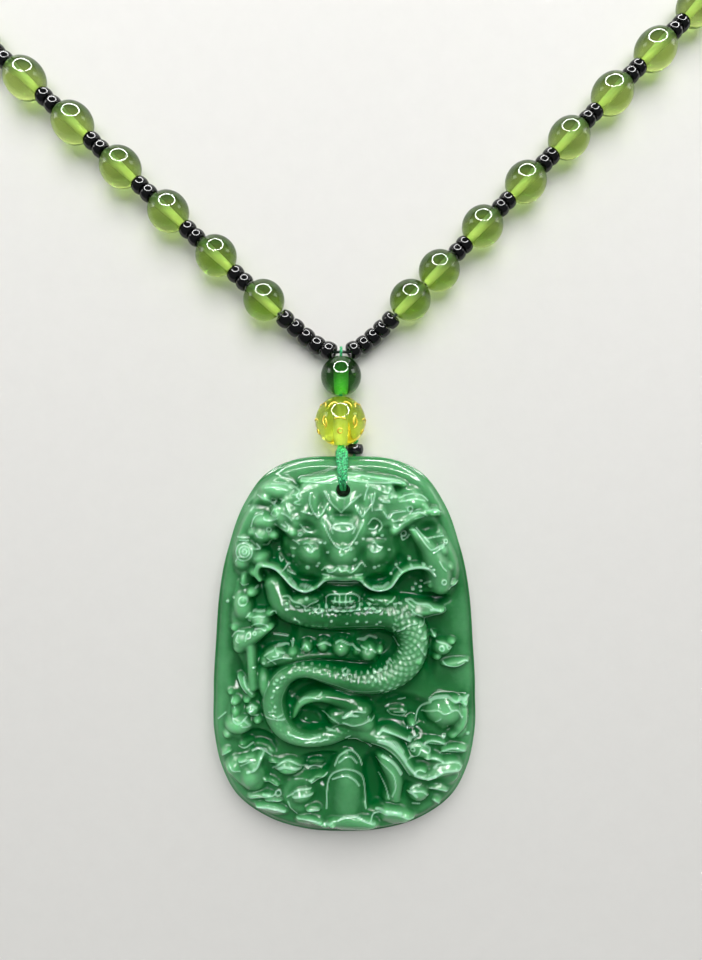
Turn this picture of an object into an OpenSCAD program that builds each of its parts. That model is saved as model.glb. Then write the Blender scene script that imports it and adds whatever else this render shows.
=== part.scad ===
// Necklace with a carved stone pendant, lying flat: +Y runs from the pendant to the back of the neck.

/* [Plaque] */
// Width of the plaque at its widest
plaque_w = 49; // [47:0.5:51]
// Thickness at the smooth ground that the carving rises from
ground_t = 6.3; // [5.8:0.1:6.6]
// Thickness where the carving is cut deepest
recess_t = 4.6; // [4:0.1:5.2]
// Drop of the front edge below the ground
edge_drop = 0.9; // [0.5:0.1:1.2]
// Size of the slope round the back edge
back_slope = 0.8; // [0.5:0.1:1]
// Radius of the hole for the cord
hole_r = 1.3; // [1.2:0.05:1.5]
// How far the cord behind it tips the plaque up, in degrees
tip_up = 1.15; // [1.1:0.05:1.4]
// Cells of the carved face across the plaque
cells_across = 58; // [30:2:60]
// Cells of the carved face along the plaque
cells_along = 84; // [40:2:86]

/* [Beads over the pendant] */
// Radius of the yellow glass bead
gold_r = 4.75; // [4.6:0.05:4.8]
// Radius of the green glass bead above it
top_r = 3.85; // [3.7:0.05:3.9]
// Radius of the hole through these two beads
wide_bore_r = 0.95; // [0.9:0.05:1.1]

/* [Strand] */
// Radius of the green glass beads
green_r = 3.9; // [3.8:0.05:3.95]
// Radius of the black beads
black_r = 1.75; // [1.6:0.05:1.8]
// Radius of the hole through the strand's beads
bore_r = 0.6; // [0.5:0.05:0.65]
// Radius of the thread
thread_r = 0.3; // [0.25:0.05:0.35]
// Gap between two beads on the thread
bead_gap = 0.16; // [0.15:0.01:0.2]
// Green beads on the left half
greens_left = 25; // [23:1:26]
// Green beads on the right half
greens_right = 26; // [24:1:27]
// Length of the first five black beads on the left
first_len_left = 2; // [1.9:0.05:2]
// Length of the first five black beads on the right
first_len_right = 1.75; // [1.6:0.05:1.75]
// Length of the other black beads on the left
black_len_left = 2.1; // [1.9:0.05:2.2]
// Length of the other black beads on the right
black_len_right = 1.78; // [1.7:0.02:2]

/* [Hidden] */
$fn = 16;
clear = 0.1;

// The plaque's outline: direction from its centre, clockwise from the top, and the distance to the edge.
DIRECTION = 0;
REACH = 1;
OUTLINE = [
    [0, 35], [15, 35.65], [25, 34.95], [35, 32.35], [50, 28.25], [70, 25], [90, 24.1], [110, 26.1],
    [125, 29.75], [135, 32.6], [145, 34.95], [157, 35.8], [168, 35.75], [180, 35.5],
];
plaque_scale = plaque_w / 49;

// The hole's place on the plaque.
hole_at = [-0.2, 28.8];

// Places in the tables below are in millimetres from the plaque's centre, to the right and up.
// The carving is drawn in towards this point by this scale.
carving_from = [1.24, 30.5];
carving_scale = 0.984;
HALF_WIDTH = 2;
CREST = 3;

// Raised strands: each row is right, up, half width and crest height above the back.
BODY = [
    [-13, 11, 2.4, 8.2], [-11.5, 7.2, 2.8, 9], [-8, 5.4, 3, 9.4], [-3, 4.8, 3.2, 9.6], [3, 5.2, 3.3, 9.8],
    [8, 5.3, 3.3, 10], [12, 3.2, 3.4, 10.4], [13.1, -0.5, 3.2, 10.4], [11.8, -4, 3.2, 10.6],
    [8.3, -6.6, 3.1, 10.6], [3, -7.4, 2.9, 10.4], [-2, -6.6, 2.6, 10.2], [-7, -5.2, 2.2, 9.8],
    [-11, -6.2, 2.2, 9.4], [-13.2, -9.6, 2.4, 9.4], [-13.2, -13, 2.4, 9.3], [-11.3, -16.2, 2.2, 9.2],
    [-7.5, -17.9, 1.8, 9], [-3, -17.2, 2, 8.8], [0.5, -15.5, 2.6, 8.8], [4, -16.2, 2.4, 8.8],
];
FORELEG = [
    [-14.5, -3, 1.6, 8.6], [-10, -1.9, 1.5, 9.2], [-7, -0.9, 1.6, 9.6], [-3.8, -0.8, 1.7, 10],
    [-0.6, -0.9, 1.9, 10.6], [3.6, -1.6, 2.2, 10.2], [6, -2.2, 1.5, 9.4],
];
HIND_LEG = [[-9.6, -13, 0.9, 7.6], [-8, -10.8, 1.2, 8.4], [-4.5, -9.6, 1.6, 9.2], [0, -10.6, 2.4, 9.4],
    [3.5, -13.2, 2.8, 9.4]];
TAIL = [[4, -16.4, 2.2, 8.8], [8, -18.2, 1.9, 9], [11, -21.5, 1.7, 8.9], [13.5, -24.4, 1.5, 8.7],
    [17, -23.6, 1.6, 8.7], [21, -22.7, 1.4, 8.3]];
TAIL_LOCK = [[5, -18.6, 1.7, 8.7], [7.8, -22.4, 1.6, 8.8], [9.2, -26.2, 1.4, 8.5], [9.4, -29.4, 0.9, 7.8]];
CLAW = [[6.5, -15.6, 1, 8.2], [12.3, -17.6, 0.9, 7.8]];
WHISKER_LEFT = [[-3.8, 12, 0.7, 11.4], [-5.4, 10.6, 0.7, 11], [-7.7, 10, 0.7, 10.8], [-10.3, 11.4, 0.7, 10.4],
    [-12.6, 13.9, 0.7, 10], [-15.2, 14.7, 0.8, 9.6], [-16.2, 13, 0.7, 9.2]];
WHISKER_RIGHT = [[3.1, 12, 0.7, 11.4], [4.6, 10.6, 0.7, 11], [6.6, 10, 0.7, 10.8], [8.8, 11, 0.7, 10.4],
    [11.5, 13.7, 0.7, 10], [14.2, 14.4, 0.8, 9.6], [16.6, 13.2, 0.8, 9.4], [16, 10.6, 0.7, 9]];
NOSE = [[-3.8, 12.3, 0.9, 12], [3.2, 12.3, 0.9, 12]];
CREST_PLATE = [[-7.5, 30.2, 1.1, 8.9], [-2, 31, 1.4, 8.5], [4, 30.8, 1.4, 8.5], [10.8, 29.9, 0.9, 8.6]];
MANE = [
    [[-5, 23.5, 1.5, 10.6], [-8, 28.8, 1.3, 9]], [[-2.2, 24.6, 1.3, 10.8], [-3.8, 29.6, 1.2, 8.8]],
    [[1.8, 24.6, 1.3, 10.8], [3.4, 29.6, 1.2, 8.8]], [[4.6, 23.5, 1.5, 10.6], [7.6, 28.8, 1.3, 9]],
];
HORN_LEFT = [[-9.6, 20.6, 1.6, 10], [-12.2, 25, 1.6, 9.2], [-15.6, 27.4, 1.3, 8.7]];
HORN_RIGHT = [[9, 21.2, 1.6, 10], [12.4, 24.4, 1.4, 9.2], [16.4, 24.9, 1, 8.7]];
MANE_RIGHT = [[12.8, 21.4, 1.1, 9], [15.8, 18.4, 2, 9.3], [18, 14, 2.6, 9.6], [18.2, 10.8, 2.3, 9.4]];
FIN = [[11.5, 7.8, 1.4, 9], [15, 6.8, 1.6, 9.2], [18, 6.3, 1.1, 8.8]];
STRAP = [[-18, 1, 1.5, 9], [-17.3, -3, 1.2, 8.8], [-17.2, -8, 1.3, 8.4]];
WING = [[17.6, -3.7, 0.7, 7.8], [20.6, -3.3, 1, 8], [23, -2.8, 0.7, 7.6]];
ROCK = [[0.1, -31, 4.1, 8.3], [0.1, -23.7, 4.1, 8.4]];
ROCK_FACE = [[0.4, -31, 3.4, 9.5], [0.4, -26.8, 3.4, 9.5]];
STRANDS = [
    BODY, FORELEG, HIND_LEG, TAIL, TAIL_LOCK, CLAW, WHISKER_LEFT, WHISKER_RIGHT, NOSE, CREST_PLATE, each MANE,
    HORN_LEFT, HORN_RIGHT, MANE_RIGHT, FIN, STRAP, WING, ROCK, ROCK_FACE,
];

// Raised mounds: each row is right, up, half length, half height and crest height above the back.
M_LONG = 2;
M_TALL = 3;
M_CREST = 4;
HEAD = [
    [-0.2, 19.4, 10, 9.6, 10.4], [-0.4, 20.4, 4.4, 5.6, 11.6], [-6.5, 17.2, 2.9, 2.5, 11.6],
    [5.8, 17.2, 2.9, 2.5, 11.6], [-0.3, 14.2, 4.2, 2.8, 12], [-8, 12.6, 3.4, 2.6, 10.2],
    [7.4, 12.6, 3.4, 2.6, 10.2], [-0.3, 8.4, 3.5, 1.7, 11],
];
KNUCKLES = [[-7, 0, 1.2, 1.2, 10], [-3.5, 0.1, 1.5, 1.5, 10.4], [-0.6, -0.6, 2, 1.8, 11],
    [4, -1.5, 2.4, 2.1, 10.6]];
CLOUDS_LEFT = [
    [-12.2, 28.8, 3.9, 1.7, 8.8], [-15, 23.5, 2.8, 1.8, 9.1], [-16.6, 20.6, 2, 1.7, 9],
    [-18.6, 17.3, 2.2, 2.3, 9.2], [-18.8, 12, 1, 2, 8.4], [-19, 6.8, 1.9, 3.4, 9],
    [-16, 4.2, 2.4, 1.9, 9.4], [-19.2, 0.7, 2.1, 2.3, 9.2], [-20.6, -11, 1.2, 1.2, 8.2],
    [-17.2, -12, 1.4, 1.3, 8.4], [-20, -15.3, 2.8, 2.2, 8.8],
];
CLOUDS_RIGHT = [
    [12.8, 26.4, 3.2, 1.9, 8.8], [20, 11.6, 1.3, 1, 8.6], [13.8, -3.6, 1.3, 1.3, 11],
    [18.4, -0.8, 2.1, 1.7, 8.6], [19, -13.2, 4, 3.4, 9.2], [22.4, -11, 1.2, 1.2, 8.8],
    [12.7, -14.7, 1, 1, 7.6],
];
WAVES = [
    [-21, -23, 2.2, 1.7, 7.9], [-17.5, -24.6, 2.3, 2.9, 8.6], [-10.5, -22.8, 3.3, 2, 8.6],
    [-7.8, -28.3, 2.8, 1.8, 8.3], [-5.2, -23.4, 1.8, 1.3, 7.6], [-15.2, -19.2, 2, 0.9, 7.4],
    [-14.4, -28.2, 3.4, 1.1, 7.5], [-13.5, -30.6, 3.6, 1.2, 7.4], [-6.5, -32.2, 2.8, 1.1, 7.4],
    [1, -32, 5, 1.4, 8], [9.6, -30.6, 4.4, 1.5, 7.8], [13.8, -27.3, 2.4, 2.2, 8.5],
    [14, -19.6, 2.6, 1, 7.9], [19.4, -19.2, 3.2, 1.1, 7.6], [18, -26.6, 2.4, 1.2, 7.5],
    [9.8, -12.6, 2.2, 0.9, 7.1],
];
MOUNDS = [each HEAD, each KNUCKLES, each CLOUDS_LEFT, each CLOUDS_RIGHT, each WAVES];

// Pockets cut below the ground: each row is right, up, half length and half height.
POCKETS = [
    [6, 0.6, 4.4, 3.2], [-12.6, 3.6, 3, 4.2], [-14.4, 0.4, 2.6, 1.8], [-13, 18, 2.6, 3.6],
    [12, 10.6, 3.2, 2.4], [15.5, 22, 2, 1.6], [-7.4, -8.6, 3.6, 1.8], [-6.6, -13.8, 3.8, 2.4],
    [11, -11.4, 5, 3.4], [16.8, 2.6, 2.4, 3.6], [-15.6, 9, 2, 4], [-19.6, -5, 1.4, 3],
    [-5, -20.4, 4, 1.2],
];

// Smooth value between the rows of a table, through each of them.
function hermite(y0, y1, s0, s1, k) =
    y0 * (2 * k ^ 3 - 3 * k ^ 2 + 1) + s0 * (k ^ 3 - 2 * k ^ 2 + k)
    + y1 * (3 * k ^ 2 - 2 * k ^ 3) + s1 * (k ^ 3 - k ^ 2);
function slope_at(table, i) = let (last = len(table) - 1)
    i == 0 || i == last ? 0
        : (table[i + 1][REACH] - table[i - 1][REACH]) / (table[i + 1][DIRECTION] - table[i - 1][DIRECTION]);
function row_before(table, a, i = 0) =
    i >= len(table) - 2 || a < table[i + 1][DIRECTION] ? i : row_before(table, a, i + 1);
function edge_distance(a) = let (
        i = row_before(OUTLINE, a),
        low = OUTLINE[i],
        high = OUTLINE[i + 1],
        span = high[DIRECTION] - low[DIRECTION])
    plaque_scale * hermite(low[REACH], high[REACH],
        slope_at(OUTLINE, i) * span, slope_at(OUTLINE, i + 1) * span, (a - low[DIRECTION]) / span);

// A point of the square from -1 to 1, taken to a disc and from there to the plaque's outline.
function on_plaque(u, v) = let (d = [u * sqrt(1 - v * v / 2), v * sqrt(1 - u * u / 2)])
    norm(d) == 0 ? d : d * edge_distance(abs(atan2(d.x, d.y)));

// Height of one stretch of a strand over a point: a half ellipse over the deepest cut.
function stretch_height(at, low, high) = let (
        start = [low.x, low.y],
        run = [high.x, high.y] - start,
        k = max(0, min(1, ((at - start) * run) / (run * run))),
        away = norm(at - start - run * k) / (low[HALF_WIDTH] + (high[HALF_WIDTH] - low[HALF_WIDTH]) * k),
        crest = low[CREST] + (high[CREST] - low[CREST]) * k)
    away >= 1 ? 0 : recess_t + (crest - recess_t) * sqrt(1 - away * away);
function strand_reach(rows) = [
    min([for (r = rows) r.x - r[HALF_WIDTH]]), max([for (r = rows) r.x + r[HALF_WIDTH]]),
    min([for (r = rows) r.y - r[HALF_WIDTH]]), max([for (r = rows) r.y + r[HALF_WIDTH]]),
];
REACHES = [for (s = STRANDS) strand_reach(s)];
function within(at, reach) = at.x > reach[0] && at.x < reach[1] && at.y > reach[2] && at.y < reach[3];
function strand_height(at) = max([0, for (i = [0:len(STRANDS) - 1]) if (within(at, REACHES[i]))
    for (j = [0:len(STRANDS[i]) - 2]) stretch_height(at, STRANDS[i][j], STRANDS[i][j + 1])]);
function mound_share(at, row) = ((at.x - row.x) / row[M_LONG]) ^ 2 + ((at.y - row.y) / row[M_TALL]) ^ 2;
function mound_height(at) = max([0, for (m = MOUNDS) let (away = mound_share(at, m))
    if (away < 1) recess_t + (m[M_CREST] - recess_t) * sqrt(1 - away)]);
function ground_height(at) = let (deep = max([0, for (c = POCKETS) 1 - mound_share(at, c)]))
    ground_t - (ground_t - recess_t) * min(1, 2 * deep);
function relief(place) = let (at = carving_from + (place - carving_from) / carving_scale)
    max(ground_height(at), strand_height(at), mound_height(at));

// The grid of the carved face, its wall and its back, which is cut flat afterwards.
columns = cells_across + 1;
rows = cells_along + 1;
function grid_at(i, j) = on_plaque(2 * i / cells_across - 1, 2 * j / cells_along - 1);
function on_edge(i, j) = i == 0 || j == 0 || i == cells_across || j == cells_along;
function edge_walk() = [
    for (i = [0:cells_across - 1]) i,
    for (j = [0:cells_along - 1]) j * columns + cells_across,
    for (i = [cells_across:-1:1]) cells_along * columns + i,
    for (j = [cells_along:-1:1]) j * columns,
];
FACE_UNDER = 0.4;

module carved_block() {
    walk = edge_walk();
    n = len(walk);
    flat = [for (j = [0:cells_along]) for (i = [0:cells_across]) grid_at(i, j)];
    face = [for (j = [0:cells_along]) for (i = [0:cells_across]) let (p = flat[j * columns + i])
        [p.x, p.y, on_edge(i, j) ? ground_t - edge_drop : relief(p)]];
    inset = back_slope + FACE_UNDER;
    wall = [for (k = walk) [flat[k].x, flat[k].y, back_slope]];
    under = [for (k = walk) let (p = flat[k], q = p * (1 - inset / norm(p))) [q.x, q.y, -FACE_UNDER]];
    top = rows * columns;
    faces = [
        for (j = [0:cells_along - 1]) for (i = [0:cells_across - 1])
            let (a = j * columns + i, b = a + columns) each [[a, b, b + 1], [a, b + 1, a + 1]],
        for (k = [0:n - 1]) let (m = (k + 1) % n) each [
            [walk[k], walk[m], top + m], [walk[k], top + m, top + k],
            [top + k, top + m, top + n + m], [top + k, top + n + m, top + n + k],
        ],
        [for (k = [0:n - 1]) top + n + k],
    ];
    polyhedron(points = concat(face, wall, under), faces = faces, convexity = 10);
}

// Everything is drawn round the plaque's centre, then moved so that the origin is under the whole's middle.
plaque_low = OUTLINE[len(OUTLINE) - 1][REACH] * plaque_scale;
plaque_top = OUTLINE[0][REACH] * plaque_scale;
gold_at = [-0.74, plaque_top + 6.6, gold_r];
top_at = [-0.65, gold_at.y + sqrt((gold_r + top_r) ^ 2 - (gold_r - top_r) ^ 2) + clear, top_r];
// Where the thread crosses the eye of the cord, over the upper bead's hole.
crossing = [top_at.x, top_at.y + top_r + 0.8, 3.6];

// Where the first green bead of each half sits, and how steeply the half then runs up, in degrees.
knee_left = [-15.3, 64.7, green_r];
knee_right = [12.5, 64.7, green_r];
rise_left = 42.8;
rise_right = 45.6;
way_left = [-cos(rise_left), sin(rise_left), 0];
way_right = [cos(rise_right), sin(rise_right), 0];
green_half = sqrt(green_r ^ 2 - bore_r ^ 2);
mouth_gap = 0.3;

// The thread's route from the crossing to the first green bead of each half. It bends between the first five
// black beads and is straight inside them.
FIRST_BLACK = 2;
LAST_BLACK = 6;
LEG_LEFT = [
    crossing, [-1.1, 54.9, 3.55], [-1.8, 54.9, 2.95], [-4.25, 55.8, 2.2], [-6.35, 57.2, 2], [-8.4, 58.9, 2.2],
    [-10.35, 60.5, 3], knee_left - way_left * (green_half + mouth_gap), knee_left,
];
LEG_RIGHT = [
    crossing, [-0.2, 54.9, 3.55], [0.6, 54.95, 2.95], [2.8, 55.9, 2.2], [4.6, 57.3, 2], [6.3, 58.8, 2.2],
    [8, 60.25, 3.05], knee_right - way_right * (green_half + mouth_gap), knee_right,
];

// Where the beads sit along the thread, measured from the crossing up each half.
function path_length(points, i = 0) =
    i >= len(points) - 1 ? 0 : norm(points[i + 1] - points[i]) + path_length(points, i + 1);
first_left = path_length(LEG_LEFT);
first_right = path_length(LEG_RIGHT);
pitch_left = 2 * green_half + 2 * black_len_left + 3 * bead_gap;
pitch_right = 2 * green_half + 2 * black_len_right + 3 * bead_gap;
pair_right = 2 * green_half + bead_gap;
last_left = first_left + (greens_left - 1) * pitch_left;
last_right = first_right + pair_right + (greens_right - 2) * pitch_right;
loop_length = last_left + pitch_left + last_right;

// Both halves run straight on from their first green bead until they meet one round arc behind the neck.
function cross_z(a, b) = a.x * b.y - a.y * b.x;
apex = knee_left + way_left * (cross_z(knee_right - knee_left, way_right) / cross_z(way_left, way_right));
open_angle = 180 - rise_left - rise_right;
arc_angle = 180 + open_angle;
arc_r = (loop_length - first_left - first_right + norm(knee_left - apex) + norm(knee_right - apex))
    / (2 / tan(open_angle / 2) + arc_angle * PI / 180);
straight = arc_r / tan(open_angle / 2);
straight_left = straight - norm(knee_left - apex);
straight_right = straight - norm(knee_right - apex);
middle = apex + (way_left + way_right) / norm(way_left + way_right) * arc_r / sin(open_angle / 2);
// The left half meets the arc in the direction square to its way, and the arc runs on clockwise.
arc_start = 180 + 90 - rise_left;
function on_arc(turn) = middle + arc_r * [cos(arc_start - turn), sin(arc_start - turn), 0];
function on_leg(points, s, i = 0) = let (run = points[i + 1] - points[i])
    s <= norm(run) || i >= len(points) - 2 ? points[i] + run / norm(run) * s
    : on_leg(points, s - norm(run), i + 1);
function up_half(leg, first, way, s) = s < first ? on_leg(leg, s) : leg[len(leg) - 1] + way * (s - first);
function route(s) = let (on = s - first_left - straight_left, back = loop_length - s)
    on < 0 ? up_half(LEG_LEFT, first_left, way_left, s)
    : back < first_right + straight_right ? up_half(LEG_RIGHT, first_right, way_right, back)
    : on_arc(on / arc_r * 180 / PI);
ARC_RINGS = 56;
function reversed(points) = [for (i = [len(points) - 1:-1:0]) points[i]];
function but_first(points) = [for (i = [1:len(points) - 1]) points[i]];
THREAD_ROUTE = [each LEG_LEFT, for (k = [0:ARC_RINGS]) on_arc(arc_angle * k / ARC_RINGS),
    each reversed(but_first(LEG_RIGHT))];

// The cord's route: right, up, height, half width across and half thickness.
// It starts with the eye round the thread, runs down through both beads and over the plaque's top edge, goes
// in at the hole, and comes up behind the plaque to the knot that keeps the black bead on it.
ACROSS = 3;
THICK = 4;
EYE_R = 0.78;
eye_ply = 0.3;
cord_r = 0.6;
stopper_at = [1.9, 36.45, 1.75];
stopper_half = 0.95;
CORD_EYE = [
    [crossing.x, 53.75, 3.35, 0.25, 0.25], [crossing.x, 54.05, 3.28, 0.28, 0.28],
    for (a = [-45:25:205])
        [crossing.x, crossing.y + EYE_R * sin(a), crossing.z - EYE_R * cos(a), eye_ply, eye_ply],
];
CORD_IN_BEADS = [
    [top_at.x, 54, 4.12, 0.34, 0.34], [top_at.x, 53.2, 3.95, 0.45, 0.45],
    [top_at.x, 52.6, top_r, cord_r, cord_r], [top_at.x, 47.5, 3.9, 0.55, 0.55],
    [-0.69, 46.4, 4.3, 0.36, 0.36], [gold_at.x, 45.4, 4.7, 0.55, 0.55],
    [gold_at.x, 37.7, gold_r, cord_r, cord_r],
];
CORD_IN_FRONT = [
    [-0.7, 37, 4.75, 0.7, 0.55], [-0.6, 36.3, 5.15, 0.95, 0.6], [-0.5, 35.8, 6.05, 1.2, 0.6],
    [-0.45, 35.4, 7.2, 1.3, 0.6], [-0.4, 34.8, 8, 1.3, 0.6], [-0.4, 34, 8.6, 1.25, 0.6],
    [-0.35, 33.1, 9.2, 1.15, 0.6], [-0.35, 32.3, 10, 1.1, 0.6], [-0.3, 31.5, 10.6, 1, 0.6],
    [-0.3, 30.7, 10.7, 0.95, 0.6], [-0.25, 29.9, 10.3, 0.85, 0.55], [-0.2, 29.3, 9.4, 0.75, 0.5],
    [-0.2, 29, 8.4, 0.65, 0.5],
];
CORD_BEHIND = [
    [-0.2, 28.95, 6, 0.6, 0.5], [-0.2, 28.95, 3.5, 0.6, 0.5], [-0.2, 29, 2.1, 0.6, 0.48],
    [-0.15, 29.25, 1.2, 0.58, 0.46], [0, 29.85, 0.7, 0.6, 0.46], [0.3, 31, 0.58, 0.6, 0.46],
    [0.9, 32.4, 0.57, 0.6, 0.46], [1.5, 33.9, 0.57, 0.55, 0.45], [1.75, 34.6, 0.75, 0.42, 0.38],
    [1.85, 35.15, 1.25, 0.32, 0.3],
];
CORD_END = [
    [1.9, 35.58, 1.72, 0.26, 0.26], [1.9, 37.5, 1.75, 0.28, 0.28], [2, 37.8, 1.65, 0.6, 0.6],
    [2.15, 38.3, 1.55, 0.64, 0.64], [2.25, 38.65, 1.45, 0.3, 0.3],
];
CORD_ROUTE = [each CORD_EYE, each CORD_IN_BEADS, each CORD_IN_FRONT, each CORD_BEHIND, each CORD_END];

// The middle of the whole, under which the origin lies.
ground_middle = [middle.x, (middle.y + arc_r + green_r - plaque_low) / 2, 0];

// A tube of oval section along a row of points, whose wide way lies along the way given.
TUBE_SIDES = 8;
function unit(v) = v / norm(v);
function tube_ring(at, along, wide, across, thick) = let (
        a = unit(wide - (wide * along) * along),
        b = cross(along, a))
    [for (k = [0:TUBE_SIDES - 1]) let (turn = 360 * k / TUBE_SIDES)
        at + a * across * cos(turn) + b * thick * sin(turn)];
module tube(points, across, thick, wide, closed) {
    n = len(points);
    rings = [for (i = [0:n - 1]) let (
            before = points[closed ? (i + n - 1) % n : max(0, i - 1)],
            after = points[closed ? (i + 1) % n : min(n - 1, i + 1)],
            here = points[i],
            arriving = here == before ? [0, 0, 0] : unit(here - before),
            leaving = here == after ? [0, 0, 0] : unit(after - here),
            along = unit(arriving + leaving))
        each tube_ring(here, along, wide, across[i], thick[i])];
    last = closed ? n - 1 : n - 2;
    faces = [
        for (i = [0:last]) for (k = [0:TUBE_SIDES - 1]) let (
            low = i * TUBE_SIDES,
            high = (i + 1) % n * TUBE_SIDES,
            m = (k + 1) % TUBE_SIDES)
            each [[low + k, high + k, high + m], [low + k, high + m, low + m]],
        if (!closed) [for (k = [0:TUBE_SIDES - 1]) k],
        if (!closed) [for (k = [TUBE_SIDES - 1:-1:0]) (n - 1) * TUBE_SIDES + k],
    ];
    polyhedron(points = rings, faces = faces, convexity = 10);
}

// A round bead with flat ends, drilled along X.
module bead(r, half_length, hole) {
    rotate([0, 90, 0])
        rotate_extrude()
            intersection() {
                circle(r);
                translate([hole, -half_length])
                    square([r, 2 * half_length]);
            }
}

// Lays what is drawn along X midway between two points, along the line from one to the other.
module between(low, high) {
    way = high - low;
    translate((low + high) / 2)
        rotate([0, -asin(way.z / norm(way)), atan2(way.y, way.x)])
            children();
}

module green_beads(places) {
    for (s = places)
        between(route(s - green_half), route(s + green_half))
            bead(green_r, green_half, bore_r);
}

// Distances along the thread of a pair of black beads that follows a green one.
function pair_after(s, way, length) = [
    s + way * (green_half + bead_gap + length / 2),
    s + way * (green_half + 2 * bead_gap + length * 3 / 2),
];
module black_beads_of_leg(leg, length) {
    for (k = [FIRST_BLACK:LAST_BLACK])
        between(leg[k], leg[k + 1])
            bead(black_r, length / 2, bore_r);
}

module black_beads(places, length) {
    for (s = places)
        between(route(s - length / 2), route(s + length / 2))
            bead(black_r, length / 2, bore_r);
}

function greens_of_left() = [for (i = [0:greens_left - 1]) first_left + i * pitch_left];
function greens_of_right() = [
    loop_length - first_right,
    for (i = [0:greens_right - 2]) loop_length - first_right - pair_right - i * pitch_right,
];

module pendant() {
    color("mediumseagreen")
        translate([0, -plaque_low, 0] - ground_middle)
            rotate([tip_up, 0, 0])
                translate([0, plaque_low, 0])
                    difference() {
                        carved_block();
                        translate([-plaque_w, -2 * plaque_w, -plaque_w])
                            cube([2 * plaque_w, 4 * plaque_w, plaque_w]);
                        translate(hole_at)
                            cylinder(h = 40, r = hole_r, center = true);
                    }
}

module pendant_cord() {
    color("seagreen")
        translate(-ground_middle)
            tube([for (c = CORD_ROUTE) [c.x, c.y, c.z]], [for (c = CORD_ROUTE) c[ACROSS]],
                [for (c = CORD_ROUTE) c[THICK]], [1, 0, 0], false);
}

module stopper_bead() {
    color("black")
        translate(stopper_at - ground_middle)
            rotate([0, 0, 90])
                bead(black_r, stopper_half, bore_r);
}

module gold_bead() {
    color("yellowgreen")
        translate(gold_at - ground_middle)
            rotate([0, 0, 90])
                bead(gold_r, gold_r, wide_bore_r);
}

module top_bead() {
    color("darkgreen")
        translate(top_at - ground_middle)
            rotate([0, 0, 90])
                bead(top_r, top_r, wide_bore_r);
}

module green_beads_left() {
    color("olivedrab")
        translate(-ground_middle)
            green_beads(greens_of_left());
}

module green_beads_right() {
    color("olivedrab")
        translate(-ground_middle)
            green_beads(greens_of_right());
}

module black_beads_left() {
    color("black")
        translate(-ground_middle) {
            black_beads_of_leg(LEG_LEFT, first_len_left);
            black_beads([for (s = greens_of_left()) each pair_after(s, 1, black_len_left)], black_len_left);
        }
}

module black_beads_right() {
    firsts = greens_of_right();
    color("black")
        translate(-ground_middle) {
            black_beads_of_leg(LEG_RIGHT, first_len_right);
            black_beads([for (i = [1:greens_right - 2]) each pair_after(firsts[i], -1, black_len_right)],
                black_len_right);
        }
}

module thread() {
    radii = [for (p = THREAD_ROUTE) thread_r];
    color("darkslategray")
        translate(-ground_middle)
            tube(THREAD_ROUTE, radii, radii, [0, 0, 1], true);
}

pendant();
pendant_cord();
stopper_bead();
gold_bead();
top_bead();
green_beads_left();
green_beads_right();
black_beads_left();
black_beads_right();
thread();
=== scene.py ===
import math

import bmesh
import bpy
import numpy as np
from bpy.props import FloatProperty, FloatVectorProperty, IntProperty, PointerProperty
from mathutils import Matrix, Vector


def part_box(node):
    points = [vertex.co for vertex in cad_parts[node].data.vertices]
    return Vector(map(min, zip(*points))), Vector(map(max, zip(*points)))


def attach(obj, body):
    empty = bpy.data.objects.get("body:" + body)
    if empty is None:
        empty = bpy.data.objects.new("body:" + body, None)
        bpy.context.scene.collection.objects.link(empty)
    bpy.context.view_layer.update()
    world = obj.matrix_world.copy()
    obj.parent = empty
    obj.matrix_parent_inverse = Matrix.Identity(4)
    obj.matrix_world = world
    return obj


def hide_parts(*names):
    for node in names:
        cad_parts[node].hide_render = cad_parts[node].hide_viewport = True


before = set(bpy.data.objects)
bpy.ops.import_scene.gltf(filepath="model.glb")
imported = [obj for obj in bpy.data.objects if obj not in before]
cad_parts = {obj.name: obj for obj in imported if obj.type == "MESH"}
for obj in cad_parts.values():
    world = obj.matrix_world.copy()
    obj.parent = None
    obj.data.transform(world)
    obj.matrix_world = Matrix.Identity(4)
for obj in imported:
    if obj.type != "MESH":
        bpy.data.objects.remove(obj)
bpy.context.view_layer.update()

bl_info = {
    "name": "Necklace with a carved stone pendant",
    "version": (1, 0, 0),
    "blender": (4, 5, 0),
    "location": "View3D > Sidebar > Necklace",
    "description": "Dresses the packed necklace: carved stone, glass beads, cord, thread and studio",
    "category": "Add Mesh",
}

MM = 0.001
BODY_NAME = "root"

# Sizes of the beads in millimetres, as in the part's source. A half length reaches from a bead's middle to
# the mouth of its bore.
GREEN_R = 3.9
BLACK_R = 1.75
GOLD_R = 4.75
TOP_R = 3.85
BORE_R = 0.6
WIDE_BORE_R = 0.95
BLACK_HALVES = {"left": 1.05, "right": 0.89}
GOLD_HALF = 4.654
TOP_HALF = 3.73
STOPPER_HALF = 0.95


def srgb(red, green, blue):
    """A colour given from 0 to 255 as a screen shows it, as the linear colour that shaders use."""
    def linear(value):
        share = value / 255
        return share / 12.92 if share <= 0.04045 else ((share + 0.055) / 1.055) ** 2.4
    return linear(red), linear(green), linear(blue)


# Places on the plaque are in millimetres from its centre, to the right and up, as in the part's source.
# The plaque's frame is moved so that the gold bead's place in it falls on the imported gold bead.
PLAQUE_LOW = -35.5
PLAQUE_TOP = 35.0
TIP_UP = math.radians(1.15)
HOLE_AT = (-0.2, 28.8)
GOLD_OVER_TOP = 6.6
GOLD_AT = Vector((-0.74, PLAQUE_TOP + GOLD_OVER_TOP, GOLD_R))
GOLD_MIDDLE = (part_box("gold_bead")[0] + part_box("gold_bead")[1]) / 2 / MM
GROUND_MIDDLE = Vector((GOLD_AT.x - GOLD_MIDDLE.x, GOLD_AT.y - GOLD_MIDDLE.y, 0))

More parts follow.
